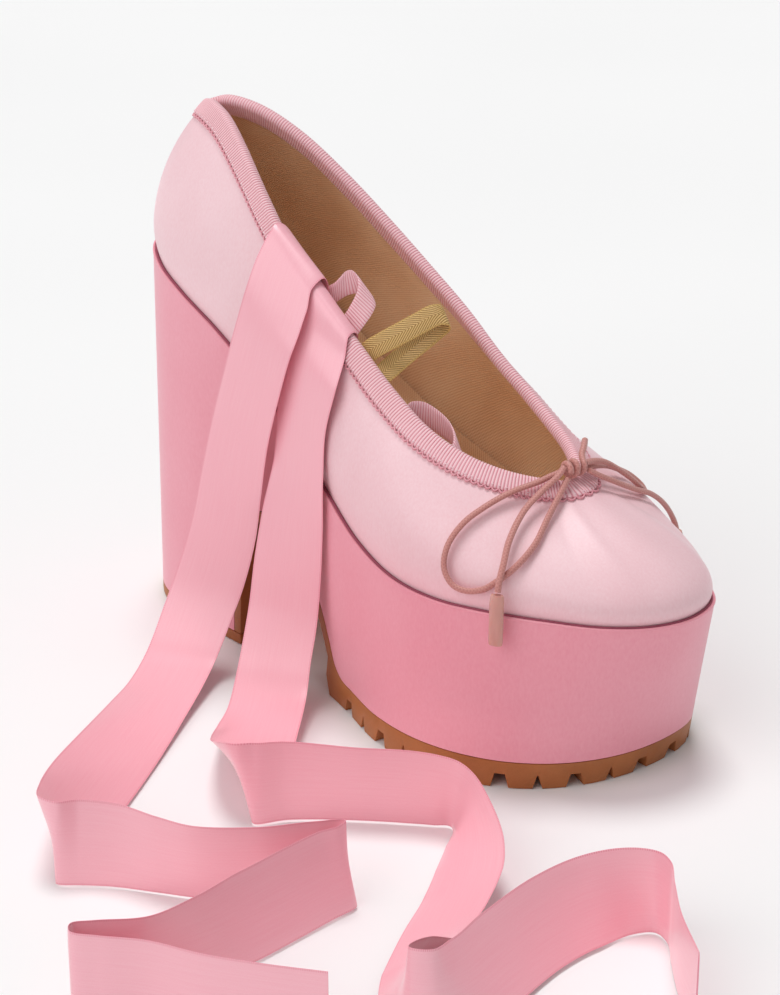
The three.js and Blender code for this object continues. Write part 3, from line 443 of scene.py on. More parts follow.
def canvas_material():
    """Tan cotton canvas in a plain weave, pale threads over darker ones; u and v are in mm."""
    material, tree, shader = new_material("canvas")
    coordinates = add_node(tree, "ShaderNodeTexCoord").outputs["UV"]
    parts = add_node(tree, "ShaderNodeSeparateXYZ")
    tree.links.new(coordinates, parts.inputs[0])
    pitch = 2 * math.pi / CANVAS_THREAD
    along = math_node(tree, "SINE", math_node(tree, "MULTIPLY", parts.outputs[0], pitch))
    up = math_node(tree, "SINE", math_node(tree, "MULTIPLY", parts.outputs[1], pitch))
    woven = math_node(tree, "MULTIPLY", along, up)
    place = add_node(tree, "ShaderNodeTexCoord").outputs["Object"]
    broad = noise_node(tree, place, 30, 2)
    tone = math_node(tree, "ADD", math_node(tree, "MULTIPLY", woven, 0.26), broad)
    stops = [(0.2, linear(218, 172, 132)), (0.5, linear(242, 202, 162)), (0.8, linear(253, 228, 194))]
    tree.links.new(ramp_node(tree, tone, stops), shader.inputs["Base Color"])
    shader.inputs["Roughness"].default_value = 0.85
    shader.inputs["Specular IOR Level"].default_value = 0.2
    bump(tree, shader, woven, 0.0001, 0.5)
    return material


upper_satin = satin_material("upper_satin", linear(250, 214, 220), linear(244, 199, 206), 0.4, 0.3)
canvas = canvas_material()


def settle(obj, material, slot, *nodes):
    """Gives a piece its material, makes it ride, and hides the CAD nodes it stands for. The slot is not used.
    """
    obj.data.materials.append(material)
    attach(obj, "root")
    if nodes:
        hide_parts(*nodes)
    return obj


PLACES = np.arange(0, AROUND, 0.2)
HEIGHTS = np.linspace(0, 1, 41)
SATIN_THICKNESS = 0.8
LINING_START = 0.9


def shell(name, outside, inside):
    outer, _, _ = wall(PLACES, HEIGHTS, outside)
    inner, _, _ = wall(PLACES, HEIGHTS, inside)
    grid = np.concatenate([outer, inner[:, ::-1]], axis=1)
    middle = wall(PLACES, np.array([0.45]))[0][:, 0]
    u = lengths_along(np.vstack([middle, middle[:1]]))
    rise = lengths_along(outer[0])
    v = np.concatenate([rise, rise[::-1], rise[:1]])
    return grid_mesh(name, grid, True, True, u, v, angle=50)


satin_shell = shell("upper_satin", 0.0, -SATIN_THICKNESS)
settle(satin_shell, upper_satin, "satin", "upper")
lining = shell("upper_lining", -LINING_START, -WALL)
settle(lining, canvas, "canvas", "upper")

# Binding
# A grosgrain band folded over the top edge and stitched through near its lower edge, all the way round.
# Each rib is modelled. A fine picot thread swings along its lower edge, with a row of stitches above it.
RIBS = 430
PER_RIB = 5
BAND_DEPTH = 6.0
BAND_FACE = 1.1
RIB_HEIGHT = 0.2
fine_places = np.linspace(0, AROUND, 1921)
fine_lengths = lengths_along(top_loop(fine_places))


def below_top(places, depths):
    """The shares of the wall's height that lie the given mm below its top edge."""
    steps = np.linspace(0, 1, 61)
    line, _, _ = wall(places, steps)
    shares = []
    for i in range(len(places)):
        length = lengths_along(line[i])
        shares.append(np.interp(length[-1] - np.asarray(depths, float), length, steps))
    return np.array(shares)


def places_at(lengths):
    """Places at the given distances along the top edge, in mm from the back seam."""
    return np.interp(np.asarray(lengths, float) % fine_lengths[-1], fine_lengths, fine_places)


def even_lengths(count):
    return np.linspace(0, fine_lengths[-1], count, endpoint=False)


def slant_of(places):
    """How far the wall's line leans along the top edge at each place."""
    _, _, up = wall(places, np.array([1.0]))
    edge = unit(top_loop(places + 0.1) - top_loop(places - 0.1))
    return (up[:, 0] * edge).sum(axis=1), edge, up[:, 0]


def square_column(lengths, slant, depth, distance):
    """Points at a depth below the top edge, on lines square to it."""
    places = places_at(lengths + depth * slant)
    shares = below_top(places, [depth])
    points, normal, _ = wall(places, shares, np.asarray(distance)[:, None])
    return points[:, 0], normal[:, 0]


def ribbing_material():
    """Grosgrain: rib tops painted pale as highlight, deeper pink between the ribs as painted shade; u counts
    the ribs.
    """
    material, tree, shader = new_material("ribbing")
    coordinates = add_node(tree, "ShaderNodeTexCoord").outputs["UV"]
    parts = add_node(tree, "ShaderNodeSeparateXYZ")
    tree.links.new(coordinates, parts.inputs[0])
    wave = math_node(tree, "SINE", math_node(tree, "MULTIPLY", parts.outputs[0], math.pi))
    rib = math_node(tree, "ABSOLUTE", wave)
    grain = noise_node(tree, coordinates, 3.0, 2, (1.0, 2.0, 1))
    painted_rib_light_and_shade = math_node(tree, "MULTIPLY", rib, 0.85)
    tone = math_node(tree, "ADD", painted_rib_light_and_shade, math_node(tree, "MULTIPLY", grain, 0.15))
    # Pale rib tops are painted highlight and the deeper pink between the modelled ribs is painted shade.
    stops = [(0.1, linear(216, 132, 146)), (0.45, linear(236, 170, 180)), (0.8, linear(248, 204, 210))]
    tree.links.new(ramp_node(tree, tone, stops), shader.inputs["Base Color"])
    shader.inputs["Roughness"].default_value = 0.55
    shader.inputs["Sheen Weight"].default_value = 0.3
    shader.inputs["Sheen Roughness"].default_value = 0.4
    bump(tree, shader, grain, 0.00005, 0.4)
    return material


ribbing = ribbing_material()


def build_binding():
    lengths = even_lengths(RIBS * PER_RIB)
    places = places_at(lengths)
    slant, edge, up = slant_of(places)
    square_up = unit(up - edge * slant[:, None])
    rib = np.arange(len(places)) / PER_RIB
    relief = RIB_HEIGHT * np.abs(np.sin(rib * math.pi)) ** 0.7 - RIB_HEIGHT / 2
    even = np.zeros(len(places))
    depths = (BAND_DEPTH, 5.8, 5.0, 4.0, 3.0, 2.0, 1.0, 0.2)
    faces = (0.45, 0.75, 0.95, 1.05) + (BAND_FACE,) * 4
    flanges = list(zip(depths, faces))
    columns = [square_column(lengths, slant, d, relief + f)[0] for d, f in flanges]
    top, normal, _ = wall(places, np.array([1.0]))
    middle = top[:, 0] - normal[:, 0] * (WALL / 2)
    for turn in np.linspace(0.15, math.pi - 0.15, 7):
        wide = math.cos(turn) * (WALL / 2 + BAND_FACE + relief)
        tall = math.sin(turn) * (1.5 + relief)
        columns.append(middle + normal[:, 0] * wide[:, None] + square_up * tall[:, None])
    columns += [square_column(lengths, slant, d, -WALL - f - relief)[0] for d, f in flanges[::-1]]
    columns += [square_column(lengths, slant, d, even - WALL - 0.25)[0] for d in (BAND_DEPTH, 3.0, 0.1)]
    columns += [square_column(lengths, slant, d, even + 0.25)[0] for d in (0.1, 3.0, BAND_DEPTH)]
    grid = np.stack(columns, axis=1)
    u = np.arange(len(places) + 1) / PER_RIB
    v = np.arange(len(columns) + 1) * 0.8
    return grid_mesh("binding", grid, True, True, u, v, angle=70)


settle(build_binding(), ribbing, "ribbing", "topline_binding")


def frames_along(points):
    """Side and up directions square to a line, carried along it without twisting."""
    along = unit(np.gradient(points, axis=0))
    normal = np.zeros_like(points)
    first = np.cross(along[0], np.array([0.0, 0.0, 1.0]))
    if np.linalg.norm(first) < 1e-3:
        first = np.cross(along[0], np.array([0.0, 1.0, 0.0]))
    normal[0] = unit(first)
    for i in range(1, len(points)):
        carried = normal[i - 1] - along[i] * np.dot(normal[i - 1], along[i])
        normal[i] = unit(carried)
    return normal, np.cross(along, normal)


def tube(name, points, radius, sides=12, squash=1.0, loops=False, normals=None):
    """A round cord along a line of points; squash flattens it across its second direction."""
    points = np.asarray(points, float)
    if normals is None:
        side, up = frames_along(points)
    else:
        along = unit(np.roll(points, -1, axis=0) - np.roll(points, 1, axis=0))
        up = normals
        side = unit(np.cross(along, up))
    radius = np.broadcast_to(np.asarray(radius, float), (len(points),))[:, None, None]
    turn = np.linspace(0, 2 * math.pi, sides, endpoint=False)[None, :, None]
    ring = side[:, None, :] * np.cos(turn) + up[:, None, :] * np.sin(turn) * squash
    grid = points[:, None, :] + ring * radius
    length = lengths_along(np.vstack([points, points[:1]]) if loops else points)
    around = np.linspace(0, 1, sides + 1)
    return grid_mesh(name, grid, loops, True, length, around, angle=60)


SCALLOPS = 204
PICOT_SWING = 0.95
PICOT_RADIUS = 0.32
PICOT_DEPTH = 5.9


def build_scallops():
    """The picot edge: a thin thread that swings out between the stitches."""
    samples = 10
    lengths = even_lengths(SCALLOPS * samples)
    places = places_at(lengths)
    swing = np.abs(np.sin(np.arange(len(places)) / samples * math.pi))
    points = []
    normals = []
    for i, place in enumerate(places):
        share = below_top(places[i : i + 1], [PICOT_DEPTH + PICOT_SWING * swing[i]])
        point, normal, _ = wall([place], share, 0.5)
        points.append(point[0, 0])
        normals.append(normal[0, 0])
    return tube("binding_picot", points, PICOT_RADIUS, 6, loops=True, normals=np.array(normals))


picot_thread = satin_material("picot_thread", linear(238, 172, 182), linear(222, 148, 160), 0.5, 0.2)
settle(build_scallops(), picot_thread, "ribbing")
thread = satin_material("thread", linear(250, 218, 222), linear(240, 198, 206), 0.5, 0.2)
STITCH = {"depth": 5.1, "distance": 1.05, "length": 0.45, "width": 0.2, "height": 0.16}


def bead(centre, along, side, up, length, width, height):
    """Corner points of one small rounded stitch."""
    rings = []
    for share, swell in ((-1.0, 0.35), (-0.7, 0.85), (0.0, 1.0), (0.7, 0.85), (1.0, 0.35)):
        turn = np.linspace(0, 2 * math.pi, 6, endpoint=False)
        middle = centre + along * length * share
        wide = side * width * swell
        tall = up * height * swell
        rings.append([middle + wide * math.cos(a) + tall * math.sin(a) for a in turn])
    return np.array(rings)


def join_grids(name, grids):
    """One mesh from many small closed grids of the same kind."""
    points = []
    faces = []
    for rings in grids:
        start = len(points)
        rows, columns = rings.shape[:2]
        points += rings.reshape(-1, 3).tolist()
        for i in range(rows - 1):
            for j in range(columns):
                k = (j + 1) % columns
                a = start + i * columns + j
                b = start + i * columns + k
                faces.append((a, a + columns, b + columns, b))
        faces.append(tuple(start + j for j in range(columns)))
        faces.append(tuple(start + (rows - 1) * columns + j for j in reversed(range(columns))))
    mesh = bpy.data.meshes.new(name)
    mesh.from_pydata(to_frame(points).tolist(), [], faces)
    finish_mesh(mesh, 60)
    obj = bpy.data.objects.new(name, mesh)
    scene.collection.objects.link(obj)
    return obj


def build_stitches():
    places = places_at(even_lengths(SCALLOPS))
    points, normal, up = wall(places, below_top(places, [STITCH["depth"]]), STITCH["distance"])
    size = (STITCH["length"], STITCH["width"], STITCH["height"])
    grids = []
    for i in range(len(places)):
        along = unit(np.cross(up[i, 0], normal[i, 0]))
        grids.append(bead(points[i, 0], along, up[i, 0], normal[i, 0], *size))
    return join_grids("binding_stitches", grids)


settle(build_stitches(), thread, "ribbing")

# Platform and heel
# One block with an arch cut through it, wrapped in satin that folds over its upper edge as a thin rim.
# A dark tube laid in the groove where the upper meets it is painted shade, not a real part. The arch's
# outline runs from the heel to the forefoot.
ARCH = [
    (62, 3.9),
    (62, 22),
    (62.8, 36),
    (67.5, 46),
    (75.5, 50.8),
    (84.5, 51.6),
    (94, 47),
    (102, 39),
    (108.3, 29.7),
    (113.8, 19.3),
    (117.4, 12.4),
    (122, 9.3),
    (130, 8.6),
]


def base_loop(places):
    flat = [dict(row, base_z=0.0) for row in PLATFORM]
    return row_loop(flat, "base_x", "base_outer", "base_inner", "base_z", places)


def select_only(obj):
    bpy.ops.object.select_all(action="DESELECT")
    obj.select_set(True)
    bpy.context.view_layer.objects.active = obj


def apply_modifiers(obj):
    select_only(obj)
    for modifier in list(obj.modifiers):
        bpy.ops.object.modifier_apply(modifier=modifier.name)


def stack_mesh(name, outlines):
    """A closed mesh between outlines above each other, capped from side to side."""
    around = len(outlines[0])
    points = np.concatenate(outlines)
    faces = []
    for i in range(len(outlines) - 1):
        for j in range(around):
            k = (j + 1) % around
            faces.append((i * around + j, i * around + k, (i + 1) * around + k, (i + 1) * around + j))
    top = (len(outlines) - 1) * around
    for start in (0, top):
        for j in range(around // 2):
            a, b = j, j + 1
            c, d = (around - j - 1) % around, (around - j) % around
            corners = [start + k for k in dict.fromkeys((a, b, c, d))]
            faces.append(tuple(corners))
    mesh = bpy.data.meshes.new(name)
    mesh.from_pydata(to_frame(points).tolist(), [], faces)
    finish_mesh(mesh, 40)
    obj = bpy.data.objects.new(name, mesh)
    scene.collection.objects.link(obj)
    return obj


SLAB_HALF = 75.0


def side_prism(name, outline):
    """A slab across the whole shoe from an outline seen from the side, in mm."""
    near = np.array([(x, -SLAB_HALF, z) for x, z in outline])
    far = np.array([(x, SLAB_HALF, z) for x, z in outline])
    count = len(outline)
    faces = [(i, (i + 1) % count, count + (i + 1) % count, count + i) for i in range(count)]
    faces.append(tuple(range(count)))
    faces.append(tuple(range(2 * count - 1, count - 1, -1)))
    mesh = bpy.data.meshes.new(name)
    mesh.from_pydata(to_frame(np.concatenate([near, far])).tolist(), [], faces)
    finish_mesh(mesh, 30)
    obj = bpy.data.objects.new(name, mesh)
    scene.collection.objects.link(obj)
    return obj


def cut(obj, cutter, operation):
    modifier = obj.modifiers.new("cut", "BOOLEAN")
    modifier.object = cutter
    modifier.operation = operation
    modifier.solver = "EXACT"
    apply_modifiers(obj)
    bpy.data.objects.remove(cutter, do_unlink=True)


platform_satin = satin_material("platform_satin", linear(246, 170, 184), linear(240, 154, 170), 0.42, 0.25)
arch = spline([(x, 0, z) for x, z in ARCH], np.linspace(0, 1, 121))
block_places = np.arange(0, AROUND, 0.25)
low = base_loop(block_places)
high = edge_loop(block_places)
platform = stack_mesh("platform", [low * (1 - s) + high * s for s in np.linspace(0, 1, 17)])
below = [(-150, -10), (-150, 3.9)] + [(p[0], p[2]) for p in arch] + [(300, ARCH[-1][1]), (300, -10)]
cut(platform, side_prism("arch_cutter", below), "DIFFERENCE")
finish_mesh(platform.data, 35)
settle(platform, platform_satin, "satin", "platform_heel")

RIM_RADIUS = 0.42
rim_out = out_of(edge_loop, PLACES)
rim_line = edge_loop(PLACES) - rim_out * 0.25 - np.array([0, 0, 0.3])
rim = tube("platform_rim", rim_line, RIM_RADIUS, 10, loops=True, normals=rim_out)
settle(rim, platform_satin, "satin")
# A thin deep pink tube in the groove under the upper's foot: dark satin that paints the shade of the gap.
painted_groove_shade_line = edge_loop(PLACES) - rim_out * 1.1 + np.array([0, 0, 0.1])
painted_groove_shade = tube("painted_groove_shade", painted_groove_shade_line, RIM_RADIUS, 8, loops=True, normals=rim_out)
painted_groove_shade_satin = satin_material("painted_groove_shade", linear(170, 84, 104), linear(150, 66, 88), 0.6, 0.1)
settle(painted_groove_shade, painted_groove_shade_satin, "satin")

# Gum sole and top lift
# Moulded gum rubber glued under the forefoot, the arch and the heel, with lugs under the forefoot.
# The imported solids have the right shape, so each is copied, its facets joined and its small edges rounded.
EDGE_ROUNDING = 0.0003


def smooth_copy(name, node, bevel):
    """A copy of a CAD solid with its small edges rounded and its facets smoothed."""
    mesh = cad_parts[node].data.copy()
    mesh.materials.clear()
    obj = bpy.data.objects.new(name, mesh)
    scene.collection.objects.link(obj)
    edit = bmesh.new()
    edit.from_mesh(mesh)
    bmesh.ops.remove_doubles(edit, verts=edit.verts, dist=0.00001)
    bmesh.ops.dissolve_limit(edit, angle_limit=math.radians(1.0), verts=edit.verts, edges=edit.edges)
    edit.to_mesh(mesh)
    edit.free()
    modifier = obj.modifiers.new("soft_edges", "BEVEL")
    modifier.width = bevel
    modifier.segments = 2
    modifier.limit_method = "ANGLE"
    modifier.angle_limit = math.radians(40)
    apply_modifiers(obj)
    finish_mesh(mesh, 30)
    return obj


def gum_material():
    """Gum rubber: warm brown, faintly mottled, with a fine moulded grain."""
    material, tree, shader = new_material("gum")
    tone, grain = mottle_node(tree, 60, 3, 1800, 0.2)
    colour = ramp_node(tree, tone, [(0.3, linear(160, 94, 44)), (0.7, linear(184, 112, 58))])
    tree.links.new(colour, shader.inputs["Base Color"])
    shader.inputs["Roughness"].default_value = 0.5
    shader.inputs["Subsurface Weight"].default_value = 0.08
    shader.inputs["Subsurface Scale"].default_value = 0.002
    bump(tree, shader, grain, 0.00004, 0.5)
    return material


gum = gum_material()
settle(smooth_copy("gum_sole", "outsole", EDGE_ROUNDING), gum, "gum", "outsole")
settle(smooth_copy("gum_top_lift", "top_lift", EDGE_ROUNDING), gum, "gum", "top_lift")

# Footbed
# The insole, covered in the lining's canvas and glued onto the platform inside the wall.
insole_inset = EDGE_STEP + WALL + GAP
insole_edge = edge_loop(block_places)
insole_out = out_of(edge_loop, block_places)
insole = stack_mesh(
    "footbed",
    [
        insole_edge - insole_out * (insole_inset + 0.3) + np.array([0, 0, 0.3]),
        insole_edge - insole_out * insole_inset + np.array([0, 0, 1.8]),
        insole_edge - insole_out * (insole_inset + 0.8) + np.array([0, 0, 2.9]),
    ],
)
insole_uv = insole.data.uv_layers.new(name="UVMap")
for corner in insole.data.loops:
    x, y, _ = insole.data.vertices[corner.vertex_index].co
    insole_uv.data[corner.index].uv = (x * 1000, y * 1000)
settle(insole, canvas, "canvas", "insole")

# Back strip
# A narrow strip of the upper's satin, stitched over the back seam from the platform up to the binding.

def build_back_strip():
    places = np.linspace(-1.0, 1.0, 9)
    heights = np.linspace(0.02, 1, 41)
    top = below_top(places, [6.3])[:, 0]
    shares = heights[None, :] * top[:, None]
    relief = 0.75 - 0.35 * np.abs(places) ** 4
    outer, _, _ = wall(places, shares, np.broadcast_to(relief[:, None], shares.shape))
    inner, _, _ = wall(places, shares, 0.1)
    grid = np.concatenate([outer, inner[::-1]], axis=0).transpose(1, 0, 2)
    u = np.linspace(0, 60, grid.shape[0])
    v = np.linspace(0, 12, grid.shape[1] + 1)
    return grid_mesh("back_seam_strip", grid, False, True, u, v, angle=45)


settle(build_back_strip(), upper_satin, "satin", "back_strip")

# Loops inside the wall
# A herringbone elastic and two small ribbed loops, sewn by both ends to the inner face of the outer wall.
# Each row is a point of the band's middle in mm, then the direction across the band.
ELASTIC_LOOP = [
    (117.4, -23.9, 110, -0.82, 0.05, 0.57),
    (117.6, -22.7, 112, -0.82, 0.05, 0.57),
    (118.9, -20.8, 114.9, -0.8, 0.05, 0.6),
    (121.6, -18.5, 117.4, -0.77, 0.04, 0.64),
    (125.7, -14.5, 120.7, -0.73, 0.02, 0.68),
    (129.8, -10, 124.1, -0.69, 0.02, 0.72),
    (133, -6.7, 126.6, -0.65, 0.05, 0.76),
    (134.8, -4.6, 126.6, -0.62, 0.08, 0.78),
    (134.4, -3.4, 124.8, -0.62, 0.08, 0.78),
    (132, -3.8, 122.2, -0.65, 0.06, 0.76),
    (128.8, -6.8, 118.2, -0.68, 0.04, 0.73),
    (126.2, -12, 114, -0.74, 0.02, 0.67),
    (125.4, -17.6, 110.8, -0.79, 0.03, 0.61),
    (125.1, -21.5, 108.8, -0.82, 0.05, 0.57),
    (124.8, -23.3, 106.6, -0.82, 0.05, 0.57),
    (124.6, -24.5, 105, -0.82, 0.05, 0.57),
]
REAR_LOOP = [
    (96.4, -17.8, 126.2, 0.03, 0.28, 0.96),
    (98.6, -17.3, 127.4, 0, 0.2, 0.98),
    (100.2, -16, 129.4, 0, 0.1, 0.99),
    (101.8, -14.2, 131.2, -0.15, 0, 0.98),
    (104.4, -12.6, 131.8, -0.35, -0.15, 0.92),
    (107.4, -12, 130.6, -0.55, -0.3, 0.78),
    (109.3, -13, 128.3, -0.68, -0.35, 0.64),
    (109.8, -15, 125.8, -0.78, -0.25, 0.57),
    (109.4, -17.4, 122.8, -0.83, -0.1, 0.55),
    (108.8, -19.4, 120.2, -0.83, -0.05, 0.55),
    (108.4, -20.7, 117.8, -0.83, -0.05, 0.55),
]
FRONT_LOOP = [
    (136.6, -25.3, 98, 0.1, 0.6, 0.79),
    (136.3, -23.8, 98.6, 0.05, 0.5, 0.86),
    (136.7, -20.6, 99.3, 0, 0.25, 0.96),
    (139, -17.3, 98.9, -0.02, 0.1, 0.99),
    (143.4, -15.4, 97, -0.1, 0.05, 0.99),
    (148.6, -15, 94.8, -0.25, 0, 0.96),
    (153, -16.4, 92.8, -0.42, -0.05, 0.9),
    (155.8, -18.8, 90.8, -0.6, -0.08, 0.8),
    (156.2, -21.4, 88.8, -0.8, -0.15, 0.58),
    (155.6, -23.3, 87, -0.86, -0.22, 0.45),
]
RIB_PITCH = 0.9
ELASTIC = {"width": 7.0, "thickness": 0.7}
RIBBED_LOOP = {"width": 7.5, "thickness": 0.5, "per_row": 12, "ribs": RIB_PITCH, "unit_u": 1 / RIB_PITCH}


def band(rows, width, thickness, per_row, ribs=0.0, across_steps=10):
    """A flat band along a route, its edges rounded; ribs is the pitch of cross ribs in mm."""
    rows = np.asarray(rows, float)
    share = np.linspace(0, 1, (len(rows) - 1) * per_row + 1)
    middle = spline(rows[:, :3], share)
    across = unit(spline(rows[:, 3:], share))
    length = lengths_along(middle)
    if ribs:
        count = int(length[-1] / ribs * 6)
        even = np.linspace(0, length[-1], count)
        middle = np.stack([np.interp(even, length, middle[:, k]) for k in range(3)], axis=1)
        across = unit(np.stack([np.interp(even, length, across[:, k]) for k in range(3)], axis=1))
        length = even
    along = unit(np.gradient(middle, axis=0))
    through = unit(np.cross(along, across))
    relief = np.zeros(len(middle))
    if ribs:
        relief = 0.16 * np.abs(np.sin(length / ribs * math.pi)) ** 0.7
    steps = np.linspace(-1, 1, across_steps + 1)
    edge = np.sqrt(np.maximum(1 - steps**8, 0.12))
    half = thickness / 2 * edge
    upper_side = middle[:, None, :] + across[:, None, :] * steps[None, :, None] * width / 2
    lift = half[None, :] + relief[:, None] * edge[None, :]
    front = upper_side + through[:, None, :] * lift[:, :, None]
    back = upper_side + through[:, None, :] * -lift[:, :, None]
    grid = np.concatenate([front, back[:, ::-1]], axis=1)
    side = (steps + 1) / 2
    v = np.concatenate([side, side[::-1], side[:1]])
    return grid, length, v, middle


def build_band(name, rows, width, thickness, per_row, ribs=0.0, unit_u=1.0, unit_v=1.0, across_steps=10):
    grid, length, v, middle = band(rows, width, thickness, per_row, ribs, across_steps)
    obj = grid_mesh(name, grid, False, True, length * unit_u, v * unit_v, angle=60)
    return obj, middle


def mix_node(tree, kind, share, first, second):
    node = add_node(tree, "ShaderNodeMix", data_type="RGBA", blend_type=kind)
    for key, value in (("Factor", share), ("A", first), ("B", second)):
        sockets = [s for s in node.inputs if s.name == key and (key == "Factor") == (s.type == "VALUE")]
        socket = [s for s in sockets if s.type in ("VALUE", "RGBA")][0]
        if isinstance(value, (int, float, tuple)):
            socket.default_value = value
        else:
            tree.links.new(value, socket)
    return [s for s in node.outputs if s.type == "RGBA"][0]


def elastic_material():
    """Herringbone elastic in dull gold: slanted ribs that meet along the middle; u and v are in mm."""
    material, tree, shader = new_material("elastic")
    coordinates = add_node(tree, "ShaderNodeTexCoord").outputs["UV"]
    parts = add_node(tree, "ShaderNodeSeparateXYZ")
    tree.links.new(coordinates, parts.inputs[0])
    from_middle = math_node(tree, "ABSOLUTE", math_node(tree, "SUBTRACT", parts.outputs[1], 3.5))
    slant = math_node(tree, "ADD", parts.outputs[0], math_node(tree, "MULTIPLY", from_middle, 1.5))
    rib = math_node(tree, "SINE", math_node(tree, "MULTIPLY", slant, 2 * math.pi / 1.15))
    edge = math_node(tree, "GREATER_THAN", from_middle, 2.95)
    fine = math_node(tree, "SINE", math_node(tree, "MULTIPLY", parts.outputs[0], 2 * math.pi / 0.6))
    tone = math_node(tree, "ADD", math_node(tree, "MULTIPLY", rib, 0.4), 0.5)
    stops = [(0.1, linear(150, 110, 52)), (0.6, linear(212, 172, 108)), (0.95, linear(230, 194, 130))]
    body = ramp_node(tree, tone, stops)
    hem = ramp_node(tree, fine, [(0.0, linear(196, 156, 88)), (1.0, linear(216, 178, 108))])
    tree.links.new(mix_node(tree, "MIX", edge, body, hem), shader.inputs["Base Color"])
    shader.inputs["Roughness"].default_value = 0.6
    bump(tree, shader, rib, 0.00015, 0.6)
    return material


elastic = elastic_material()
elastic_band, _ = build_band("elastic_ring", ELASTIC_LOOP, **ELASTIC, per_row=10, unit_v=ELASTIC["width"])
settle(elastic_band, elastic, "elastic", "elastic_loop")
rear_band, _ = build_band("rear_loop", REAR_LOOP, **RIBBED_LOOP)
settle(rear_band, ribbing, "ribbing", "rear_ribbon_loop")
front_band, _ = build_band("front_loop", FRONT_LOOP, **RIBBED_LOOP)
settle(front_band, ribbing, "ribbing", "front_ribbon_loop")

# Ties
# Two long satin ribbons with a narrow woven edge, sewn inside the wall. They pass over the binding, hang
# down the outer side and lie on the floor, mostly on edge, with a sharp fold at some of the turns.
REAR_TAIL = [
    (87.8, -20, 130.1, 0.8, -0.05, -0.59),
    (88, -19.2, 132.6, 0.8, -0.05, -0.59),
    (88, -18, 136.9, 0.81, -0.05, -0.58),
    (88.2, -21.2, 140.2, 0.846, 0, -0.53),
    (88.8, -25.8, 138.2, 0.84, -0.06, -0.54),
    (89.6, -30.8, 131.2, 0.893, 0.05, -0.436),
    (89.6, -34.7, 123.3, 0.92, 0.055, -0.387),
    (88, -37.4, 114, 0.956, 0.025, -0.292),
    (82, -37.6, 97.5, 0.943, 0.03, -0.332),
    (76.3, -37.6, 80.7, 0.964, 0.069, -0.257),
    (73, -38.8, 63.4, 0.971, 0.168, -0.172),
    (70.9, -40.5, 47.7, 0.953, 0.238, -0.187),
    (68, -43.5, 32, 0.939, 0.27, -0.211),
    (66.8, -49.5, 18, 0.95, 0.293, -0.105),
    (70, -59, 7.6, 0.914, 0.403, 0.048),
    (77, -71, 4, 0.859, 0.51, 0.057),
    (87, -87, 3.4, 0.835, 0.545, -0.08),
    (100, -106, 4.6, 0.8, 0.53, -0.281),
    (112, -123, 6.6, 0.75, 0.474, -0.461),
    (124, -139.5, 9.2, 0.655, 0.377, -0.655),
    (136, -156, 11.6, 0.468, 0.238, -0.851),
    (143, -165, 12.7, 0.217, 0.167, -0.962),
    (147.5, -167, 12.9, 0.041, -0.074, -0.996),
    (152, -162, 12.9, 0.12, -0.13, -0.984),
    (160.5, -155.5, 12.9, 0.056, -0.095, -0.994),
    (172, -150.5, 12.9, -0.024, 0.052, -0.998),
    (183, -145, 12.9, -0.086, 0.121, -0.989),
    (195, -133.5, 12.9, -0.091, 0.082, -0.992),
    (204.5, -121.5, 12.9, 0.008, -0.006, -1),
    (209.5, -115, 12.9, 0.005, -0.022, -1),
    (212.5, -116.5, 12.9, 0.169, 0.105, -0.98),
    (212, -124, 12.8, 0.279, 0.008, -0.96),
    (212.3, -137, 12.6, 0.301, 0.016, -0.953),
    (213.2, -153, 12.7, 0.28, -0.005, -0.96),
    (212.8, -169, 12.9, 0.048, -0.012, -0.999),
    (209.5, -184, 12.9, -0.137, 0.053, -0.989),
    (203, -195.5, 12.9, -0.04, 0.02, -0.999),
    (200.5, -201, 12.9, 0, 0, -1),
    (203.5, -203.5, 12.9, 0, 0, -1),
    (210, -199.5, 12.9, 0, 0, -1),
    (220, -192, 12.9, 0, 0, -1),
    (234, -186, 12.9, 0, 0, -1),
    (247, -178.5, 12.9, 0, 0, -1),
    (262, -168.5, 12.9, 0, 0, -1),
]
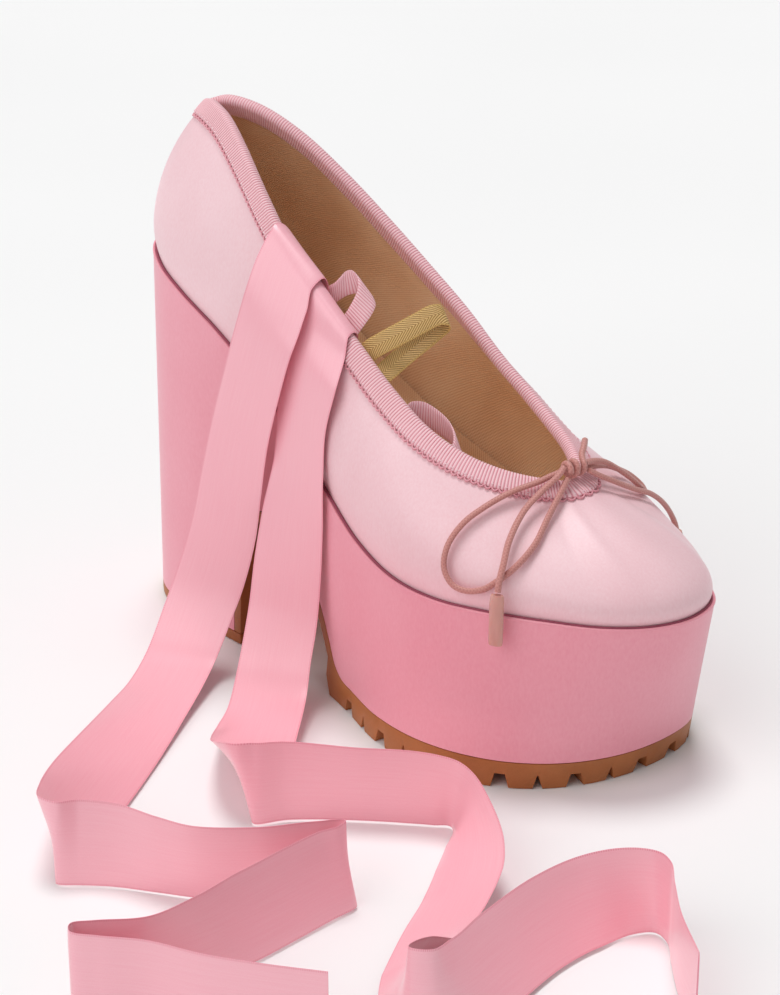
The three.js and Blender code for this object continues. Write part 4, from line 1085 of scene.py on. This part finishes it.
FRONT_TAIL = [
    (103.2, -22.5, 119.4, 0.826, -0.08, -0.56),
    (103.4, -21.7, 121.6, 0.826, -0.08, -0.56),
    (103.8, -20.3, 125.4, 0.826, -0.07, -0.56),
    (104.6, -22.7, 127.4, 0.83, -0.06, -0.555),
    (105.1, -26, 126.6, 0.84, -0.04, -0.54),
    (104.9, -29.2, 118.4, 0.916, 0.028, -0.4),
    (105.8, -33.6, 108, 0.965, -0.039, -0.258),
    (102.4, -34.4, 92, 0.987, -0.096, -0.132),
    (101.3, -35, 75, 0.997, -0.072, -0.041),
    (100.8, -37.4, 58, 0.99, 0.135, -0.029),
    (101, -40, 42, 0.96, 0.279, -0.019),
    (101.8, -43, 27, 0.941, 0.338, 0.019),
    (105, -49.5, 13.5, 0.889, 0.436, 0.139),
    (113, -59.5, 6.5, 0.788, 0.599, 0.144),
    (126, -75, 6.5, 0.758, 0.649, -0.064),
    (141, -92, 8.5, 0.685, 0.537, -0.492),
    (151, -102.5, 11.2, 0.495, 0.303, -0.814),
    (156.5, -106.5, 12.8, 0.156, 0.108, -0.982),
    (160, -104.5, 12.9, 0.111, -0.091, -0.99),
    (165, -97, 13, 0.05, -0.03, -0.998),
    (181.1, -83, 13, -0.063, 0.052, -0.997),
    (191.3, -74.4, 13, -0.074, 0.042, -0.996),
    (198.2, -69.6, 12.9, -0.109, 0.067, -0.992),
    (203.5, -66.9, 12.7, -0.24, 0.088, -0.967),
    (208.2, -67.6, 11.9, -0.394, 0.06, -0.917),
    (216.2, -73.3, 9.9, -0.65, -0.08, -0.755),
    (225, -82, 8, -0.73, -0.33, -0.598),
    (232.8, -92, 6.8, -0.73, -0.48, -0.487),
    (243, -109, 7.4, -0.76, -0.469, -0.451),
    (254, -129, 8.8, -0.676, -0.469, -0.568),
    (261.5, -142, 12, -0.258, -0.401, -0.879),
    (268, -147.5, 12.9, 0.055, -0.105, -0.993),
    (274, -144, 12.9, 0.137, -0.126, -0.983),
    (275.5, -134, 12.4, 0.427, -0.021, -0.904),
    (272, -117, 12, 0.503, 0.082, -0.86),
    (268.8, -97, 12, 0.484, 0.033, -0.875),
    (269.5, -82, 12.2, 0.438, -0.064, -0.896),
    (274, -70.5, 12.8, 0.153, -0.068, -0.986),
    (279.5, -65.6, 12.9, 0.01, -0.01, -1),
    (285, -67, 12.9, -0, 0, -1),
    (293, -74.5, 12.9, 0.004, 0.004, -1),
    (304, -84.5, 12.9, 0.009, 0.011, -1),
    (319, -95.5, 12.9, 0, 0, -1),
]
TIE = {"width": 25.0, "thickness": 0.45}


def ribbon_material():
    """Satin ribbon: lengthwise sheen, and at each edge a narrow woven line with tiny cross threads."""
    material, tree, shader = new_material("ribbon_satin")
    coordinates = add_node(tree, "ShaderNodeTexCoord").outputs["UV"]
    parts = add_node(tree, "ShaderNodeSeparateXYZ")
    tree.links.new(coordinates, parts.inputs[0])
    length, across = parts.outputs[0], parts.outputs[1]
    streaks = noise_node(tree, coordinates, 1.0, 2, (0.05, 60, 1))
    threads = noise_node(tree, coordinates, 1.0, 1, (6.0, 40, 1))
    streak_part = math_node(tree, "MULTIPLY", streaks, 0.5)
    tone = math_node(tree, "ADD", streak_part, math_node(tree, "MULTIPLY", threads, 0.5))
    body = ramp_node(tree, tone, [(0.3, linear(251, 176, 190)), (0.7, linear(255, 190, 201))])
    from_middle = math_node(tree, "ABSOLUTE", math_node(tree, "SUBTRACT", across, 0.5))
    edge = math_node(tree, "GREATER_THAN", from_middle, 0.478)
    wave = math_node(tree, "SINE", math_node(tree, "MULTIPLY", length, 11.0))
    ticks = math_node(tree, "GREATER_THAN", wave, 0.0)
    edge_tone = mix_node(tree, "MIX", ticks, linear(240, 150, 168), linear(251, 180, 192))
    colour = mix_node(tree, "MIX", edge, body, edge_tone)
    tree.links.new(colour, shader.inputs["Base Color"])
    shader.inputs["Roughness"].default_value = 0.3
    shader.inputs["Sheen Weight"].default_value = 0.25
    shader.inputs["Sheen Roughness"].default_value = 0.3
    shader.inputs["Specular IOR Level"].default_value = 0.8
    bump(tree, shader, threads, 0.00003, 0.4)
    return material


ribbon_satin = ribbon_material()


def build_tie(name, rows, node):
    obj, middle = build_band(name, rows, **TIE, per_row=14, across_steps=24)
    settle(obj, ribbon_satin, "ribbon", node)


build_tie("rear_tie", REAR_TAIL, "ribbon_tail_rear")
build_tie("front_tie", FRONT_TAIL, "ribbon_tail_front")

# Bow
# The drawstring at the throat: a braided cord tied in a knot, with a loop and a tail to each side.
# A soft plastic tube is pressed onto the end of each tail.
OUTER_LOOP = [
    (182.2, -2.5, 88.4),
    (181.6, -6, 87.9),
    (181, -10.4, 87.2),
    (178.2, -19, 85.5),
    (175.9, -27.7, 82.6),
    (173.9, -35, 78.6),
    (173.1, -40.4, 72.8),
    (173.9, -42.4, 66.6),
    (177.3, -42.2, 62.4),
    (181.7, -40.7, 61.4),
    (186.4, -38.5, 62.8),
    (188.9, -36.5, 65),
    (192.3, -31.2, 69.7),
    (192.4, -23.6, 74.4),
    (189.4, -14.8, 79.7),
    (187, -7, 84.6),
    (185.4, -2.5, 87.2),
]
OUTER_TAIL = [
    (183.8, -2.5, 90.4),
    (184.6, -6, 88.8),
    (184.2, -12, 85.8),
    (185, -20.6, 82),
    (187.9, -29.6, 76.2),
    (190.6, -34.8, 70.8),
    (191.8, -37.6, 66.8),
    (192.2, -38.6, 63.8),
]
OUTER_TUBE = [
    (192.3, -38.8, 63),
    (192.4, -39.1, 59),
    (192.6, -39.4, 55),
    (192.8, -39.7, 51),
    (193, -40, 47.6),
]
INNER_LOOP = [
    (184.4, 6.2, 89.6),
    (184, 10, 89.2),
    (184.2, 15, 87.6),
    (185.2, 20, 84.2),
    (186.4, 25, 80),
    (186.6, 29.5, 75.8),
    (185.2, 33, 73.2),
    (182.6, 34.2, 74.2),
    (180.4, 31.6, 77.4),
    (180, 27, 80.4),
    (180.6, 21.5, 83.4),
    (182, 15, 85.8),
    (183, 9.8, 87),
    (183.2, 6.2, 87.2),
]
INNER_TAIL = [
    (186.2, 6.1, 87.8),
    (187.6, 9.8, 85.4),
    (188.6, 14.4, 82.8),
    (189.4, 19.4, 80),
    (189.6, 24.8, 77.2),
    (189.6, 30.6, 74.4),
    (189.4, 36.2, 70.2),
    (189, 40.8, 65.2),
    (188.8, 43.6, 60.8),
    (188.7, 44.6, 58.6),
]
INNER_TUBE = [
    (188.7, 44.8, 57.8),
    (188.7, 45.2, 54.4),
    (188.7, 45.6, 51),
    (188.7, 45.8, 47.6),
    (188.7, 46, 44.4),
]
CORD_RADIUS = 1.0
CORD_FLATTENED = 0.85
TUBE_RADIUS = 2.3
TUBE_FLATTENED = 0.62


def cord_material():
    """Braided rose cord: two sets of strands that cross; u is in mm and v goes once around."""
    material, tree, shader = new_material("cord")
    coordinates = add_node(tree, "ShaderNodeTexCoord").outputs["UV"]
    parts = add_node(tree, "ShaderNodeSeparateXYZ")
    tree.links.new(coordinates, parts.inputs[0])
    along = math_node(tree, "MULTIPLY", parts.outputs[0], 2 * math.pi / 1.1)
    turn = math_node(tree, "MULTIPLY", parts.outputs[1], 2 * math.pi * 4)
    first = math_node(tree, "SINE", math_node(tree, "ADD", along, turn))
    second = math_node(tree, "SINE", math_node(tree, "SUBTRACT", along, turn))
    braid = math_node(tree, "MAXIMUM", first, second)
    grain = noise_node(tree, coordinates, 2.0, 2, (2, 12, 1))
    braid_part = math_node(tree, "MULTIPLY", braid, 0.14)
    tone = math_node(tree, "ADD", braid_part, math_node(tree, "MULTIPLY", grain, 0.8))
    stops = [(0.2, linear(182, 112, 108)), (0.5, linear(202, 136, 128)), (0.8, linear(220, 160, 148))]
    tree.links.new(ramp_node(tree, tone, stops), shader.inputs["Base Color"])
    shader.inputs["Roughness"].default_value = 0.45
    shader.inputs["Sheen Weight"].default_value = 0.3
    bump(tree, shader, braid, 0.00008, 0.5)
    return material


def tube_material():
    """The soft plastic of the tubes at the cord's ends."""
    material, tree, shader = new_material("tube")
    place = add_node(tree, "ShaderNodeTexCoord").outputs["Object"]
    grain = noise_node(tree, place, 260, 2, (1, 1, 0.3))
    colour = ramp_node(tree, grain, [(0.3, linear(204, 148, 138)), (0.7, linear(218, 164, 152))])
    tree.links.new(colour, shader.inputs["Base Color"])
    shader.inputs["Roughness"].default_value = 0.36
    shader.inputs["Subsurface Weight"].default_value = 0.25
    shader.inputs["Subsurface Scale"].default_value = 0.002
    shader.inputs["Coat Weight"].default_value = 0.15
    bump(tree, shader, grain, 0.00005, 0.4)
    return material


cord_braid = cord_material()
tube_plastic = tube_material()


def build_cord(name, rows, node):
    points = spline(rows, np.linspace(0, 1, len(rows) * 10))
    obj = tube(name, points, CORD_RADIUS, 14, squash=CORD_FLATTENED)
    settle(obj, cord_braid, "cord", node)


def build_tube(name, rows, node):
    """A short flattened tube, a little narrower at each end."""
    points = spline(rows, np.linspace(0, 1, 41))
    share = np.linspace(0, 1, 41)
    radius = TUBE_RADIUS * (1 - 0.16 * np.exp(-share / 0.05) - 0.12 * np.exp(-(1 - share) / 0.03))
    obj = tube(name, points, radius, 20, squash=TUBE_FLATTENED)
    return settle(obj, tube_plastic, "tube", node)


KNOT_RADIUS = 2.0


def build_knot():
    """The cord wound twice around the crossing strands, its short end standing up behind."""
    turns = np.linspace(0, 2 * math.pi * 2.1, 120)
    y = np.linspace(-1.4, 4.8, 120)
    x = 183.5 + KNOT_RADIUS * np.cos(turns)
    z = 88.9 + KNOT_RADIUS * np.sin(turns)
    winding = np.stack([x, y, z], axis=1)
    end_rows = [winding[-1], (182.6, 6.6, 91.6), (180.6, 9.6, 93.0), (178.4, 12.4, 93.6)]
    end = spline(end_rows, np.linspace(0, 1, 24))
    obj = tube("knot_cord", np.vstack([winding, end[1:]]), CORD_RADIUS, 12)
    return settle(obj, cord_braid, "cord", "bow_knot")


knot = build_knot()
outer_tube = build_tube("outer_tail_tube", OUTER_TUBE, "bow_tube_outer")
inner_tube = build_tube("inner_tail_tube", INNER_TUBE, "bow_tube_inner")
build_cord("outer_loop_cord", OUTER_LOOP, "bow_loop_outer")
build_cord("outer_tail_cord", OUTER_TAIL, "bow_tail_outer")
build_cord("inner_loop_cord", INNER_LOOP, "bow_loop_inner")
build_cord("inner_tail_cord", INNER_TAIL, "bow_tail_inner")
